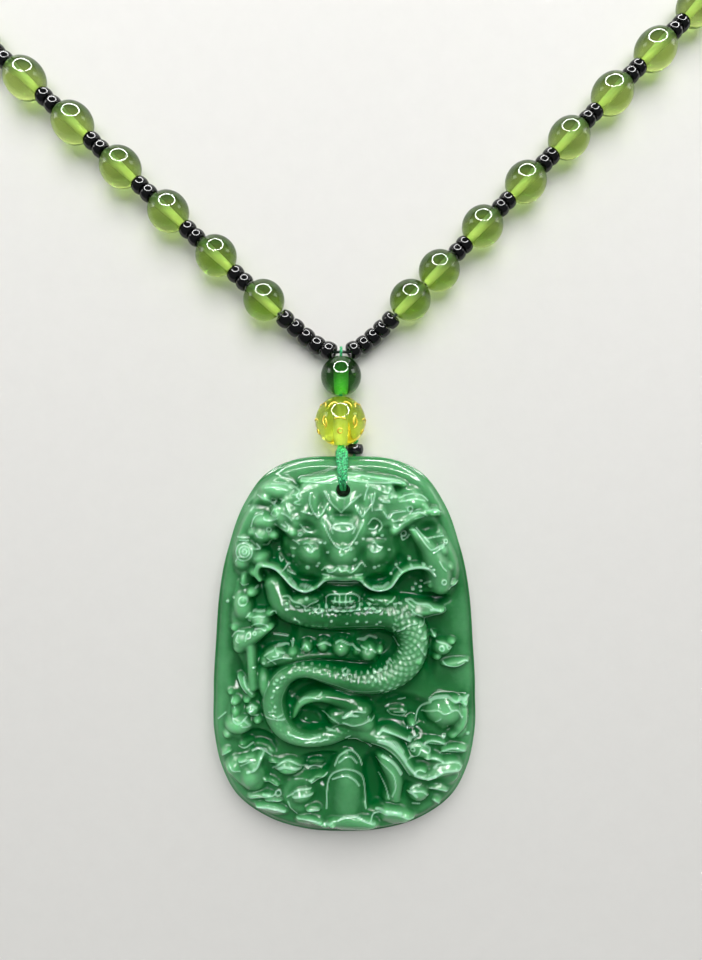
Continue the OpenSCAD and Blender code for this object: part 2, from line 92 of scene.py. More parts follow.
# The camera stands over this place, this far above the table. Places on the carving were measured as seen
# from it against a level this far below it.
EYE_OVER = (1.24, 30.5)
EYE_HEIGHT = 135.0
MEASURED_DROP = 127.78

# The stone's colour has painted shade, darkest round this place, that gives way to painted light sideways,
# upwards and downwards over these distances.
DARK_AT = (1.0, 6.5)
DARK_SIDEWAYS = 22.0
DARK_UP = 22.0
DARK_DOWN = 52.0
PALEST = 1.3

# The plaque's outline: direction from its centre, clockwise from the top in degrees, and distance to the
# edge. Both sides are alike.
OUTLINE = [
    (0, 35), (15, 35.65), (25, 34.95), (35, 32.35), (50, 28.25), (70, 25), (90, 24.1), (110, 26.1),
    (125, 29.75), (135, 32.6), (145, 34.95), (157, 35.8), (168, 35.75), (180, 35.5),
]

# Soft levels under the carving: each row is right, up, half width and level above the back.
LEVELS = [
    [(-12, 28.4, 4.4, 7.1), (-15.4, 24, 4, 7.2), (-17.8, 18.4, 4, 7.3), (-18.6, 14.6, 2.8, 6.9)],
    [(-18.9, 11.5, 1.8, 6.5), (-18.9, 6.5, 3.2, 7.1), (-18.2, 1, 3.6, 7.2), (-17.2, -5, 2.4, 6.9),
     (-17.6, -9, 2.4, 6.5)],
    [(-20.2, -11, 2, 6.5), (-19.6, -14.8, 4, 6.9)],
    [(-20, -22.6, 3, 7.2), (-17, -24.6, 4, 7.4)],
    [(11.6, 26, 5, 7.5), (15.4, 20.8, 4.2, 7.3), (17.8, 14.8, 4.8, 7.5), (18, 11.4, 4, 7.1)],
    [(-9, 25, 5, 9), (0, 26.6, 7.5, 9.4), (9, 25, 5, 9)],
    [(-6.4, 29, 2.6, 8.7), (0, 29.6, 2.8, 8.6), (7.6, 28.8, 2.6, 8.7)],
    [(18.6, -13, 3.7, 7.4), (21, -15.6, 2.6, 7)],
    [(13.5, -22.6, 5, 7.2), (19, -23.4, 4, 7.3)],
    [(-8, -27.6, 5.4, 7.2), (0, -31.6, 5, 7.2), (9, -30.8, 5, 7.2)],
]

# Raised strands: each row is right, up, half width and crest height above the back.
BODY = [
    (-13, 11, 2.4, 8.2), (-11.5, 7.2, 2.8, 9), (-8, 5.7, 3, 9.4), (-3, 5, 3, 9.5), (3, 5.2, 3.2, 9.7),
    (8, 5.2, 3.3, 10), (12, 3.2, 3.4, 10.4), (13.1, -0.5, 3.3, 10.5), (11.8, -4, 3.3, 10.6),
    (8.3, -6.6, 3.2, 10.6), (3, -7.4, 2.9, 10.4), (-2, -6.2, 2.5, 10.2), (-7, -5, 2, 9.8),
    (-11, -6, 2.3, 9.4), (-13.2, -9.4, 2.6, 9.4), (-13.1, -13, 2.6, 9.3), (-11.2, -16.3, 2.3, 9.2),
    (-7.5, -18, 1.8, 9), (-3, -17.5, 2, 8.8), (0.5, -15.8, 2.6, 8.8), (4, -16.4, 2.4, 8.8),
]
FORELEG = [
    (-14.5, -3.2, 1.8, 8.6), (-10, -2.4, 1.6, 8.8), (-7, -2, 1.3, 8.4), (-3.8, -1.8, 1.3, 8.4),
    (-0.6, -1.8, 1.5, 8.4), (3.6, -2.2, 1.4, 8.2), (5.6, -2.4, 1.2, 8),
]
HIND_LEG = [
    (-9.4, -13.4, 0.7, 7.4), (-8, -10.9, 1.1, 8.4), (-4.5, -9.8, 1.6, 9.1), (0, -10.6, 2.4, 9.3),
    (3, -12.6, 2.6, 9.4),
]
THIGH = [(-1.5, -13.6, 2.2, 9), (1.6, -14, 3, 9.8), (4, -15.2, 2.2, 9.2)]
TAIL = [
    (3.6, -16.6, 2.2, 8.8), (7.4, -18, 2, 9.1), (10.4, -20.6, 1.7, 9), (12.8, -23.8, 1.3, 8.7),
    (15.4, -24.6, 1.1, 8.4), (18, -23.6, 1.8, 8.7), (20.6, -23, 1.7, 8.5),
]
TAIL_LOCK = [(6.6, -20.6, 1, 8.4), (8.2, -22.4, 2, 9), (9.5, -25.2, 2, 8.9), (9.6, -28.6, 1.4, 8)]
CLAW = [(6.4, -15.9, 0.8, 8.4), (9, -16.3, 0.8, 8.3), (12.3, -17.9, 0.6, 7.8)]
WHISKER_LEFT = [
    (-3.6, 12.1, 0.6, 11.6), (-4.4, 11.4, 0.6, 11.4), (-5.4, 10.5, 0.6, 11.1), (-7.6, 9.9, 0.6, 10.8),
    (-9.6, 10.8, 0.62, 10.5), (-11.3, 12.6, 0.62, 10.2), (-12.8, 14, 0.62, 10), (-14.6, 14.6, 0.62, 9.8),
    (-16.2, 14.4, 0.68, 9.5), (-16.5, 12.9, 0.68, 9.3), (-15.9, 11.9, 0.62, 9),
]
WHISKER_RIGHT = [
    (3, 12.1, 0.6, 11.6), (3.8, 11.2, 0.6, 11.4), (5, 10.4, 0.6, 11.1), (6.8, 10.1, 0.6, 10.8),
    (8.6, 10.7, 0.62, 10.5), (9.9, 12.4, 0.62, 10.3), (11.4, 13.7, 0.62, 10.1), (13.6, 14.3, 0.62, 9.9),
    (15.6, 14, 0.68, 9.6), (16.7, 12.6, 0.68, 9.4), (16.1, 10.9, 0.62, 9),
]
NOSE = [(-3.8, 12.3, 0.62, 11.8), (3.2, 12.3, 0.62, 11.8)]
CREST_PLATE = [
    (-8, 30.4, 0.7, 8.4), (-4.6, 30.9, 0.9, 8.7), (0, 31.3, 1, 8.5), (4.6, 31, 1, 8.7),
    (8.4, 30.5, 0.9, 8.7), (11.2, 29.9, 0.6, 8.4),
]
HORN_LEFT = [(-9.8, 20.8, 1.2, 10), (-11.4, 22.6, 1.5, 9.4), (-12.6, 25, 1.4, 8.9)]
HORN_RIGHT = [(9.4, 21.2, 1.3, 10), (11.4, 23, 1.5, 9.4), (14.4, 24.4, 1.1, 8.9), (17.4, 24.7, 0.8, 8.5)]
MANE_RIGHT = [(12.8, 21.2, 0.9, 9), (15.6, 18, 2, 9.3), (17.6, 14.2, 2.8, 9.6), (18.2, 11, 2.3, 9.4)]
FIN = [(11.2, 6.2, 2.4, 9.2), (15, 6.4, 1.7, 9.2), (18.2, 6.4, 0.8, 8.8)]
SWIRL = [(-13.9, 3.2, 0.9, 9.2), (-16.4, 1.8, 1.6, 9.2), (-18.8, 0.6, 2.3, 9.2), (-19.6, -0.6, 1.6, 8.8)]
STRAP = [(-17.6, -0.5, 1.2, 8.8), (-17.3, -4, 1.3, 8.8), (-17, -8, 1.3, 8.5)]
TUFT = [(-19.4, -6, 0.8, 7.6), (-18.6, -7.6, 1.1, 8.2), (-17.2, -9.4, 1, 8)]
WING = [(18.4, -3.5, 0.6, 7.6), (20.6, -3.5, 1.1, 8), (22.9, -2.8, 0.6, 7.4)]
HOOK = [(22.2, -12.2, 1.2, 8.6), (22, -14.8, 1.2, 8.5), (20.2, -16.8, 1.1, 8)]
PRONG = [(-16.8, -23.2, 1.2, 8.5), (-15.6, -20.9, 0.8, 8)]
ROCK = [(0.3, -20.9, 1.7, 7.6), (0.2, -23.2, 3, 7.8), (0.1, -27, 4.2, 7.8), (0, -32, 4.4, 7.7)]
ROCK_FACE = [(0.5, -25.7, 2.6, 8.4), (0.5, -28, 3.4, 8.5), (0.5, -31.6, 3.5, 8.4)]
SOFT_STRANDS = [
    SWIRL, STRAP, TUFT, WING, HOOK, PRONG, MANE_RIGHT, HORN_LEFT, HORN_RIGHT, CREST_PLATE, ROCK, ROCK_FACE,
    TAIL_LOCK, TAIL, CLAW, FIN,
]

# Raised mounds: each row is right, up, half length, half height, turn in degrees and crest height above the
# back.
HEAD = [
    (-0.3, 19.2, 11.6, 10, 0, 10.3), (-0.3, 13.5, 5, 2, 0, 11.3), (-0.3, 9.8, 5, 2.6, 0, 9.2),
    (-0.3, 8, 3.5, 1.9, 0, 10.6), (-0.3, 6.4, 4.6, 1.2, 0, 9.9), (-7.6, 8, 4.2, 1.8, 8, 9.8),
    (7, 8, 4, 1.8, -8, 9.8),
]
KNUCKLES = [
    (-9.6, -1.6, 1.5, 1.3, 20, 9.4), (-7, -0.7, 1.5, 1.5, 20, 9.7), (-4, -0.5, 1.6, 1.6, 0, 9.9),
    (-0.6, -1, 2.3, 2.2, -5, 10.8), (2.2, -1.4, 1.2, 1.3, 0, 9.6), (4.3, -1.8, 2.4, 2.2, 0, 10.4),
    (6.6, -1.2, 1, 1.2, 0, 9.2), (-13, -2.3, 2.8, 1.7, 10, 9.5), (-15, -7.6, 1.6, 4, 6, 9.2),
]
CLOUDS_LEFT = [
    (-12.3, 28.6, 4.3, 2, -8, 8.9), (-14.8, 22.8, 3.2, 2, 0, 9.2), (-15.5, 20.4, 2.3, 1.9, 0, 9),
    (-18.4, 17, 2.6, 2.6, 0, 9.2), (-18.7, 19.7, 1.6, 0.7, 0, 8), (-19.2, 15.2, 1.9, 1.7, 0, 8.8),
    (-15.9, 16, 2.2, 1.6, 30, 8.6), (-18.8, 12, 0.9, 2, 0, 8), (-19.2, 6.8, 2.1, 3.3, 8, 8.8),
    (-18.8, 8.2, 1.1, 1.1, 0, 9), (-15.8, 4.3, 2.3, 2, -10, 9.4), (-19.2, 0.6, 2.2, 2.4, 0, 9.1),
    (-20.4, -10.7, 1.2, 1.1, 0, 8.4), (-20.3, -12.7, 1.1, 1.6, 0, 8.3), (-20, -15.3, 3, 2.3, 0, 8.9),
    (-17.2, -12.3, 1.6, 1.5, 0, 8.5), (-17.3, 20.8, 1.2, 1.1, 0, 8.5), (-13.3, 20.3, 1.3, 1.2, 0, 8.8),
    (-16.8, 13.4, 1.4, 1.3, 0, 8.4), (-17.4, 9.6, 1.3, 1.2, 0, 8.4), (-17.5, 5.2, 1.3, 1.2, 0, 8.6),
    (-14, 5.8, 1.2, 1, 0, 8.8), (-20.5, 3.1, 1.1, 1.1, 0, 8.2), (-21.2, -8.9, 0.8, 0.8, 0, 7.6),
    (-18.2, -10.4, 1.1, 0.9, 0, 8.2), (-16.2, -14.2, 1.2, 1.1, 0, 8.2), (-21.8, -16.8, 1.2, 1.1, 0, 7.8),
    (-14.7, 27.2, 1.7, 1.2, -25, 8.6), (-10.6, 27.4, 1.5, 1.3, 0, 8.9), (-9.2, 25.3, 1.2, 1.2, 0, 9.3),
    (-12.8, 23.6, 1.3, 1.1, 0, 9),
]
CLOUDS_RIGHT = [
    (12.8, 26.4, 3.4, 2, -6, 8.9), (12.4, 24, 2, 1.2, 0, 8.8), (16.7, 24.6, 1.9, 0.8, 0, 8.3),
    (20.2, 11.4, 1.4, 0.9, 30, 8.4), (13.9, -3.2, 1.2, 1.3, 0, 11), (15.1, 1.3, 0.7, 0.8, 0, 10.4),
    (18.3, -0.8, 2.2, 1.8, 0, 8.8), (19, -12.9, 4, 3.2, 0, 9.2), (22.4, -10.8, 1.1, 1.2, 0, 8.8),
    (20.6, -10.6, 1.6, 1, 0, 8.9), (12.6, -14.7, 1, 0.9, 0, 7.4), (17.3, -2.3, 1.2, 1, 0, 8.2),
    (20, 0.5, 1.1, 0.9, 0, 8.3), (16.7, 1.7, 0.8, 0.7, 0, 8.4), (10.4, 26.6, 1.3, 1.2, 0, 9),
    (15, 25.6, 1.4, 1, -20, 8.6), (18.4, 17.4, 1.3, 1.4, 0, 8.8), (19.6, 14.4, 1.1, 1.3, 0, 8.8),
]
# Scallops of the waves: the last number's excess over the usual ground is their rise.
WAVES = [
    (-5.4, -22.4, 1.7, 0.9, 0, 7.2), (-4.7, -24.5, 2.2, 0.9, 28, 7.2), (-15, -19.3, 2.2, 1, -18, 7.2),
    (-18.2, -18.2, 1.5, 0.6, 10, 6.9), (-22, -19.8, 1.2, 0.7, 35, 7), (-18, -21, 1.9, 0.8, 12, 7.2),
    (-13.2, -21.5, 1.1, 0.6, 0, 7), (-13.4, -25.4, 1.8, 0.7, -22, 7), (-15.4, -28, 2.9, 0.8, 2, 7.1),
    (-13.2, -28.7, 1.8, 0.6, -5, 7), (-13.6, -30.4, 3.6, 1.2, -12, 7.3), (-6.5, -32.6, 3, 1.3, -8, 7.3),
    (-3, -33.1, 1.6, 0.7, 25, 7), (1.6, -32.9, 5.2, 1.8, -4, 7.7), (9, -31.4, 4.8, 1.8, -10, 7.7),
    (14, -19.5, 2.5, 1.4, -20, 7.5), (16.8, -17.9, 2.4, 0.8, -6, 7.1), (20.3, -19.4, 2.9, 1, 0, 7.3),
    (16.5, -20.8, 2, 0.7, -8, 7), (17.4, -26.6, 2.2, 0.8, -12, 7.1), (17.2, -28.9, 1.2, 0.6, -38, 7.1),
    (9.8, -12.7, 2.2, 1, -5, 7), (-5.7, -30.1, 1.5, 0.7, 0, 7.1), (13.9, -23, 1.5, 1, 0, 7.2),
]
# Rounded ends among the waves, in the same way as the clouds.
LOBES = [
    (-20.8, -23, 2.1, 1.9, 0, 8), (-17.6, -25, 2.5, 2.9, 0, 8.6), (-17.2, -22.6, 1.5, 1.2, 45, 8.2),
    (-10.5, -22.4, 3.3, 1.7, 0, 7.9), (-10.5, -23.5, 2.7, 1.3, 0, 8.4), (-8, -28.3, 2.9, 2.1, 12, 8.4),
    (-8, -30.2, 2.2, 1.4, 40, 7.4), (13.8, -27.8, 2.6, 2.3, -10, 8.5), (19.4, -22.6, 3, 2, 6, 8.5),
]

# Pockets cut below the ground: each row is right, up, half length, half height and turn in degrees.
POCKETS = [
    (6.4, 0.6, 5.4, 3.8, -8), (-12.2, 4.2, 3.8, 5.6, 30), (-13.2, 0.6, 4, 2.2, 10),
    (-12.6, 17.6, 2.6, 4.2, -14), (12, 11, 4, 3.2, 35), (-7.6, -8, 4.4, 2.6, 20),
    (-6.8, -13.4, 4.6, 3.2, 0), (-15.4, 9.4, 2.8, 5, 0), (11, -12, 6.6, 4.2, -10), (0, 5.6, 9, 1.4, 0),
    (-15.4, -17, 4, 2.4, -20), (-3.6, -21, 6, 2.4, 0), (5.3, -25, 2.2, 7, 8), (15.6, 9, 4.4, 1.4, 0),
]
# Shallower pockets: each row is right, up, half length, half height, turn and depth.
DIPS = [
    (15.8, 21.8, 2.8, 1.8, 8, 1.3), (17.4, 3, 3.2, 5, 0, 1.1), (-19.7, -5, 2.4, 4, 0, 1),
    (17.6, -7, 4.4, 2.8, 0, 0.6), (-5, -27.4, 2.2, 4.4, 0, 1.1), (-16.2, 26, 3, 1, 0, 0.8),
    (-14, -24, 2, 4, -10, 0.7), (14.2, -21.4, 3.6, 1, 0, 0.6), (-15.4, -1.6, 1.4, 3.4, 0, 1),
    (16, -4, 1.6, 3.6, 0, 1), (18, -25.4, 3.4, 0.8, 0, 0.5), (8, -29.4, 3, 0.7, 0, 0.6),
    (-15.4, 12.6, 2, 2.2, 0, 0.8), (15.4, 8.8, 3, 0.8, 0, 0.6), (14.6, -16, 3, 1.4, -20, 0.7),
]
# Shallow hollows pressed into raised forms: each row is right, up, half length, half height, turn and depth.
HOLLOWS = [
    (-6.7, 22.1, 2, 1.4, -30, 0.9), (5.8, 22.4, 2.1, 1.7, 30, 0.9), (-0.2, 24.2, 3.4, 1.2, 0, 1),
    (-11, 22.2, 1.6, 1.2, -30, 0.9), (10.2, 22.4, 1.5, 1, 25, 0.8), (-12.6, 26.6, 2, 1, -25, 0.6),
    (-4.6, 26.4, 1, 2.2, -10, 0.5), (3, 26.6, 1, 1.8, 5, 0.5), (14.6, 6.7, 2.6, 0.8, -8, 0.6),
    (-10.6, 15.8, 1.6, 2, 0, 0.8), (10.4, 15.6, 1.6, 2, 0, 0.8), (19.7, -15.7, 1.8, 1, 10, 1.2),
    (-0.3, 10.9, 3.6, 0.8, 0, 0.7), (-6.8, 12.2, 3, 1.4, 0, 1.1), (6.2, 12.4, 2.8, 1.4, 0, 1.1),
    (-6.3, 19.9, 2.8, 0.9, 0, 0.5), (5.9, 20, 2.8, 0.9, 0, 0.5), (-3.6, 17, 1, 2, 20, 0.5),
    (3.2, 17, 1, 2, -20, 0.5), (-8.6, 14.4, 2.4, 0.8, -30, 0.3), (8.2, 14.4, 2.4, 0.8, 30, 0.3),
    (-0.3, 13, 4, 0.4, 0, 0.25),
]
# Swellings on raised forms: each row is right, up, half length, half height, turn and rise.
SWELLINGS = [
    (-0.2, 16.4, 3.4, 3.4, 0, 1.5), (-3, 14.5, 1.5, 1.2, 0, 0.7), (2.7, 14.5, 1.5, 1.2, 0, 0.7),
    (-6.4, 16.9, 2.7, 2.5, 0, 1.3), (5.9, 16.9, 2.7, 2.5, 0, 1.3), (-0.2, 21.2, 2.6, 3.2, 0, 0.8),
    (-3.9, 22.4, 1.2, 3.6, 12, 0.7), (3.5, 22.4, 1.2, 3.6, -12, 0.7), (-9, 21.8, 1, 3.6, 0, 0.6),
    (8.9, 21.6, 1, 3.8, 0, 0.6), (-7.6, 13.9, 3.2, 1.4, 10, 0.4), (7.2, 13.9, 3.2, 1.4, -10, 0.4),
    (-5.2, 25.8, 1.3, 3, 10, 0.5), (3.9, 25.8, 1.3, 3, -10, 0.5), (-1.4, 26.6, 1.2, 2.6, 30, 0.4),
    (1.3, 26.6, 1.2, 2.6, -30, 0.4), (-11.8, 16.2, 1, 2.4, 0, 0.5), (-12.4, 24.6, 1.6, 2.2, 20, 0.7),
    (-10, 24.4, 1, 2.4, 20, 0.5), (12.6, 20, 1, 3, 10, 0.6), (8, 27, 2, 1.2, 0, 0.3),
    (-8.4, 26.8, 1.6, 1.4, 0, 0.3), (-7.4, 24.6, 0.8, 2.2, -25, 0.5), (7.2, 24.8, 0.8, 2.2, 25, 0.5),
    (-2.6, 24.4, 0.8, 2.4, 25, 0.5), (2.1, 24.4, 0.8, 2.4, -25, 0.5), (-6.4, 19.4, 2.4, 0.6, 8, 0.5),
    (5.9, 19.4, 2.4, 0.6, -8, 0.5), (-9.6, 17.4, 0.7, 1.9, 0, 0.4), (9.2, 17.4, 0.7, 1.9, 0, 0.4),
    (-11, 19.2, 0.7, 1.6, -15, 0.4), (10.8, 19.2, 0.7, 1.6, 15, 0.4), (-4.4, 12.9, 1.1, 0.6, 0, 0.4),
    (3.8, 12.9, 1.1, 0.6, 0, 0.4),
]
# A row of small loops along the body, in the same way.
LOOPS = [
    (-9.4, 4.7, 0.8, 0.5, -35, 0.5), (-8.2, 4, 0.7, 0.5, -20, 0.5), (-7, 3.6, 0.7, 0.5, -10, 0.5),
    (-5.8, 3.5, 0.7, 0.5, 5, 0.5), (-4.6, 3.5, 0.7, 0.5, 0, 0.5), (-3.4, 3.6, 0.7, 0.5, 5, 0.5),
    (-2.3, 3.7, 0.6, 0.45, 0, 0.4),
]

# Fine raised lines, each through its own points: right and up.
FINE_LINES = [
    [(-16.2, 27.9), (-15.2, 27.4), (-14, 26.9), (-13, 26.1), (-12.1, 25.7)],
    [(-13.5, 30), (-11, 29.9), (-9.6, 29.1)], [(-14.8, 29.2), (-12.5, 29.4), (-10.5, 28.7)],
    [(-13.3, 27.3), (-12.6, 27), (-12.9, 26.4)], [(-12, 27.2), (-11.3, 26.9), (-11.7, 26.5)],
    [(-10.2, 29.8), (-9, 29.2), (-8.3, 28.6), (-8.8, 28), (-9.6, 28)],
    [(-8.9, 27.6), (-8.2, 27), (-9.3, 26.4), (-8.2, 26.1)],
    [(-15, 23.8), (-14.6, 23.3), (-13.5, 23.2), (-12.3, 23.6)], [(-17.3, 22), (-16.6, 23.8), (-15, 24.6)],
    [(-13.1, 25.3), (-13.7, 24.3), (-12.6, 24), (-12.3, 24.6)], [(-10.7, 26), (-10.4, 25.2), (-10, 24.4)],
    [(-11.6, 24.6), (-10.5, 24), (-9.7, 23.2)],
    [(-13, 22.5), (-12, 21.7), (-10.6, 21.2), (-10.3, 22), (-11, 22.9)], [(-11.7, 22.5), (-10.9, 22)],
    [(-16.5, 20.8), (-16, 20.2), (-15.2, 19.9)],
    [(-15, 18.7), (-14.3, 18.6), (-13.8, 19.3), (-13.4, 19.6)], [(-19.9, 20.1), (-17.6, 20)],
    [(-19.4, 19.5), (-17.7, 19.5)], [(-17, 18.7), (-16.5, 18), (-15.5, 18), (-16.2, 18.9)],
    [(-20.2, 15.6), (-19.6, 16.4), (-18.6, 16.5)], [(-19.3, 11.6), (-18.7, 11.2), (-18, 11.2)],
    [(-16.9, 5.2), (-15.9, 5.5), (-14.8, 5.3)], [(-17.4, 3.2), (-16.6, 3.9), (-15.5, 4.1), (-14.2, 3.4)],
    [(-16.7, 6.6), (-14.6, 6.6)], [(-17.9, 5.6), (-17.2, 6.4)], [(-16.6, 3), (-15.4, 3.2), (-14.6, 2.8)],
    [(-20.9, 1.5), (-20, 2.6), (-18.5, 2.8)],
    [(-18.2, 1), (-18, 2.2), (-17.4, 2.5), (-17.3, 1.7), (-17.8, 1.4)],
    [(-19.8, 1.9), (-20.1, 1), (-19.6, 0.6)], [(-19.9, -5.8), (-19.2, -7.4), (-18.2, -8.8)],
    [(-18.7, -6), (-18.1, -7.6), (-17, -8.9)], [(-23.4, -13.6), (-22, -12.4)],
    [(-20.8, -9.9), (-21, -10.8), (-20.4, -11.6)],
    [(-20.9, -13.2), (-20.6, -14), (-19.5, -14.5), (-18.3, -13.7)],
    [(-18.3, -13.4), (-17.3, -14.6), (-18.6, -14.4)], [(-18, -11.3), (-17, -10.7), (-16.1, -11.2)],
    [(-17.6, -12), (-17.3, -13), (-16.2, -13.3)], [(-17.4, -11.9), (-16.6, -11.4)],
    [(-19.2, -17.9), (-18.4, -18.3), (-17.6, -18.1), (-16.8, -17.8)],
    [(-16.8, -18.8), (-15.5, -18.6), (-14.5, -18.9), (-13.3, -19.6)], [(-19.3, -20.9), (-16.5, -20.7)],
    [(-19.2, -22.3), (-17.5, -21.5), (-16.6, -21.1)], [(-21.4, -22.2), (-20.6, -23.2), (-19.4, -23.5)],
    [(-13.9, -21.5), (-12.6, -21.3)],
    [(-13.3, -22.8), (-11.5, -21.2), (-10.2, -20.8), (-8.8, -21.4), (-7, -22.8)],
    [(-6.7, -22.3), (-5.5, -22), (-4.2, -22.3)], [(-6.4, -24.2), (-5.6, -23.9)],
    [(-6, -25), (-4.8, -24.6), (-3.2, -23.6)], [(-14.6, -24.8), (-12.2, -25.7)],
    [(-15, -27.1), (-13.6, -27.2)], [(-17.8, -28), (-15.5, -27.7), (-13, -27.5)],
    [(-14.6, -28.4), (-11.8, -28.6)], [(-10.6, -28), (-9.4, -27.2)],
    [(-9.2, -26.9), (-8, -26.4), (-6.2, -26.5)], [(-10.4, -28.9), (-9.9, -30.2), (-8.8, -31.3)],
    [(-8.8, -31.9), (-6.2, -31.8), (-4.3, -32.4)], [(-4.2, -33), (-3, -32.7), (-2.2, -32.2)],
    [(-1.2, -32.1), (0, -31.6), (2, -31.5), (3.5, -32.1), (5.7, -32.9)],
    [(4.9, -31.6), (5.6, -30.8), (7.5, -30.2), (10, -30.4), (12.8, -31.5)],
    [(-1.8, -22), (-1, -20.3), (0.3, -19.3), (1.5, -19.4), (2.7, -20.6), (3.3, -22.2)],
    [(-1, -21.4), (0.2, -20.4), (1.2, -20.4), (2.4, -21.8)],
    [(-3.3, -30.4), (-3.2, -26.6), (-2.5, -24.4), (-1, -23.2), (0.6, -22.9), (2.4, -23.7), (3.6, -25.6),
     (4, -30.4)],
    [(-2.2, -25), (-0.8, -24.3), (0.6, -24.1), (1.9, -24.9), (2.8, -26.2)],
    [(12.2, -26.4), (13, -25.8), (14.2, -25.6)], [(11.9, -27.2), (13, -26.9), (14.5, -26.9), (15.6, -28)],
    [(12.7, -29.6), (14, -29.7)], [(15.7, -26.2), (17.5, -26.4), (19.2, -26.9)],
    [(16.4, -22.2), (17.5, -21.4), (19.5, -21), (21, -21.3), (21.9, -22.5)],
    [(5, -18.3), (7.5, -19), (9.4, -20.3), (11, -22.4), (12.2, -24.4)],
    [(6, -17.2), (8, -17.7), (10, -19), (11.6, -21.2)], [(7, -17), (9.3, -17.6), (11, -19.4)],
    [(6, -21.5), (8, -22.8), (9.2, -24.2), (9.5, -26.4), (8.9, -28.6)],
    [(6.4, -24), (7.6, -26), (8.2, -28)],
    [(11.8, -18.7), (12.5, -18.1), (13.8, -18), (15.2, -18.5), (15.9, -19.2), (15.2, -19.4), (14.4, -19)],
    [(14.2, -19), (13.8, -19.9), (13.2, -20.6), (12, -20.7)],
    [(12.9, -23.2), (13.2, -22.6), (14, -22.4), (15, -22.9)],
    [(14.9, -17.8), (16, -17.3), (17.2, -17.4), (18.8, -18)], [(15, -18), (18.4, -18.2)],
    [(17.7, -19.7), (18.4, -19), (19.8, -18.6), (21.5, -18.9), (22.5, -19.4)],
    [(18.2, -19.6), (22, -19.8)], [(14.8, -20.2), (16.8, -20.3), (18, -20.9)],
    [(8, -12.1), (8.7, -12.9), (10, -13.2), (11.4, -13.3)], [(9.2, -12.1), (11.4, -12.1), (10.9, -12.8)],
    [(10, -10.3), (11.3, -10)], [(7.6, -11.4), (8.3, -11)],
    [(11.6, -15), (12, -14.2), (12.7, -13.9), (13.3, -14.2)], [(12, -15.2), (13, -15.2), (13.9, -15)],
    [(11.7, -16.3), (12.6, -16.5), (13.5, -16.3)],
    [(13.3, -14), (13.8, -12.3), (15, -10.8), (15.9, -10.2)],
    [(14.7, -13.3), (15.8, -12.5), (17.3, -12), (18.5, -12.5), (20, -12)],
    [(19.2, -11), (19.8, -11.8), (21, -12), (21.8, -13.3)], [(17, -14.5), (17.8, -13.6)],
    [(18.4, -3.2), (19.2, -3.8), (21, -3.9), (22.2, -3.4)], [(22.9, -2.8), (22.2, -2.4), (20.8, -2.8)],
    [(17, 1.1), (18.3, 0.9), (19.5, 0.2)], [(19, 0), (19.3, -0.7), (20.1, -0.6)],
    [(16.3, 2.5), (17, 1.3)],
    [(11.3, 8.7), (12.3, 8.7), (13.3, 8.2), (15.3, 8), (16.3, 7.3), (17.6, 6.7)],
    [(18.7, 6.9), (18.8, 6.3), (18, 5.7), (16.5, 5.4), (15, 5.1), (14.6, 4.3), (13.6, 4)],
    [(13.6, 4), (12, 3.8), (11, 3.2), (9.8, 2.4)], [(12.5, 6.6), (13.3, 5.9), (14.3, 5.5), (14.8, 4.9)],
    [(11.5, 8.2), (13, 7.1)], [(10, 27.4), (11.5, 27.9), (13, 28.1), (14.5, 27.8), (15.6, 26.8)],
    [(10.2, 26.7), (11.6, 26.9), (13, 27.2), (15, 26.8)], [(12.5, 24.4), (14, 24.7), (15.4, 24)],
    [(15.3, 25), (17, 25.2), (18.1, 24.7)], [(16, 24.3), (17.7, 24.2)], [(13, 23.5), (14.7, 23.9)],
    [(7.4, 24.6), (8.2, 23.5), (9, 24.5), (10.5, 24.8), (11.3, 24.9)], [(9.1, 23), (10.6, 23.2)],
    [(9.1, 22.1), (9.8, 21.8), (10.8, 22.6), (11.9, 23.3)],
    [(10.5, 20.2), (10.8, 19.6), (11.6, 20), (12, 20.7)],
    [(12.2, 21.4), (13.2, 21.4), (14, 20.2), (15, 18.8), (16, 17.7)],
    [(13.4, 21.8), (14.4, 20.6), (15.3, 19.9), (16.5, 20), (18.5, 20.3)],
    [(16.1, 17.9), (17.4, 18.3), (18.9, 18.9)], [(16.4, 17.2), (17.3, 17.6), (18.6, 18.3)],
    [(14.9, 20), (15.7, 19.2)], [(17.6, 15.6), (18.3, 14.4), (18.9, 13.8)],
    [(19.4, 10.4), (20.2, 11.2), (21.2, 11.8)], [(15, 11.2), (15.8, 12)],
    [(-6.3, 28.2), (-6.4, 26.5), (-5.7, 24.7), (-4.9, 23.8)], [(-4.9, 23.8), (-4.1, 24.5), (-3.1, 26.3)],
    [(-3.6, 28.4), (-2.6, 26.6), (-0.6, 24.7)], [(-0.6, 24.7), (1, 26.2), (3.1, 27.9)],
    [(2.1, 26), (2.6, 24.8), (3.3, 23.9)], [(3.4, 24), (4.4, 25.3), (5.3, 26.4), (5.7, 28.3)],
    [(4.5, 29.6), (4, 28.3), (3.7, 27)], [(5, 28), (5.2, 25)], [(-8, 24.9), (-7, 24.6), (-6, 24.3)],
    [(5.8, 25.1), (7, 25.2)], [(7, 26.6), (8.4, 26.5)], [(7.3, 28.4), (8, 28.2), (8.5, 28.8)],
    [(-8.1, 31), (-4, 31.2), (-1.8, 31.6)],
    [(0.4, 32.1), (2.5, 31.8), (6, 31.1), (10, 30.7), (11.5, 29.8)],
    [(-8, 30.4), (-5, 30.2), (-2.4, 30.1)], [(1, 30.7), (3.4, 30.4), (5.5, 30.2), (10.4, 30.1)],
    [(-3.9, 22.6), (-3.1, 21), (-2.5, 19.8), (-1.5, 18.5), (-0.6, 18.1)],
    [(3.4, 22.6), (2.6, 21), (2, 19.8), (1, 18.5), (0, 18.1)], [(-2.4, 21.8), (-2.2, 20.8)],
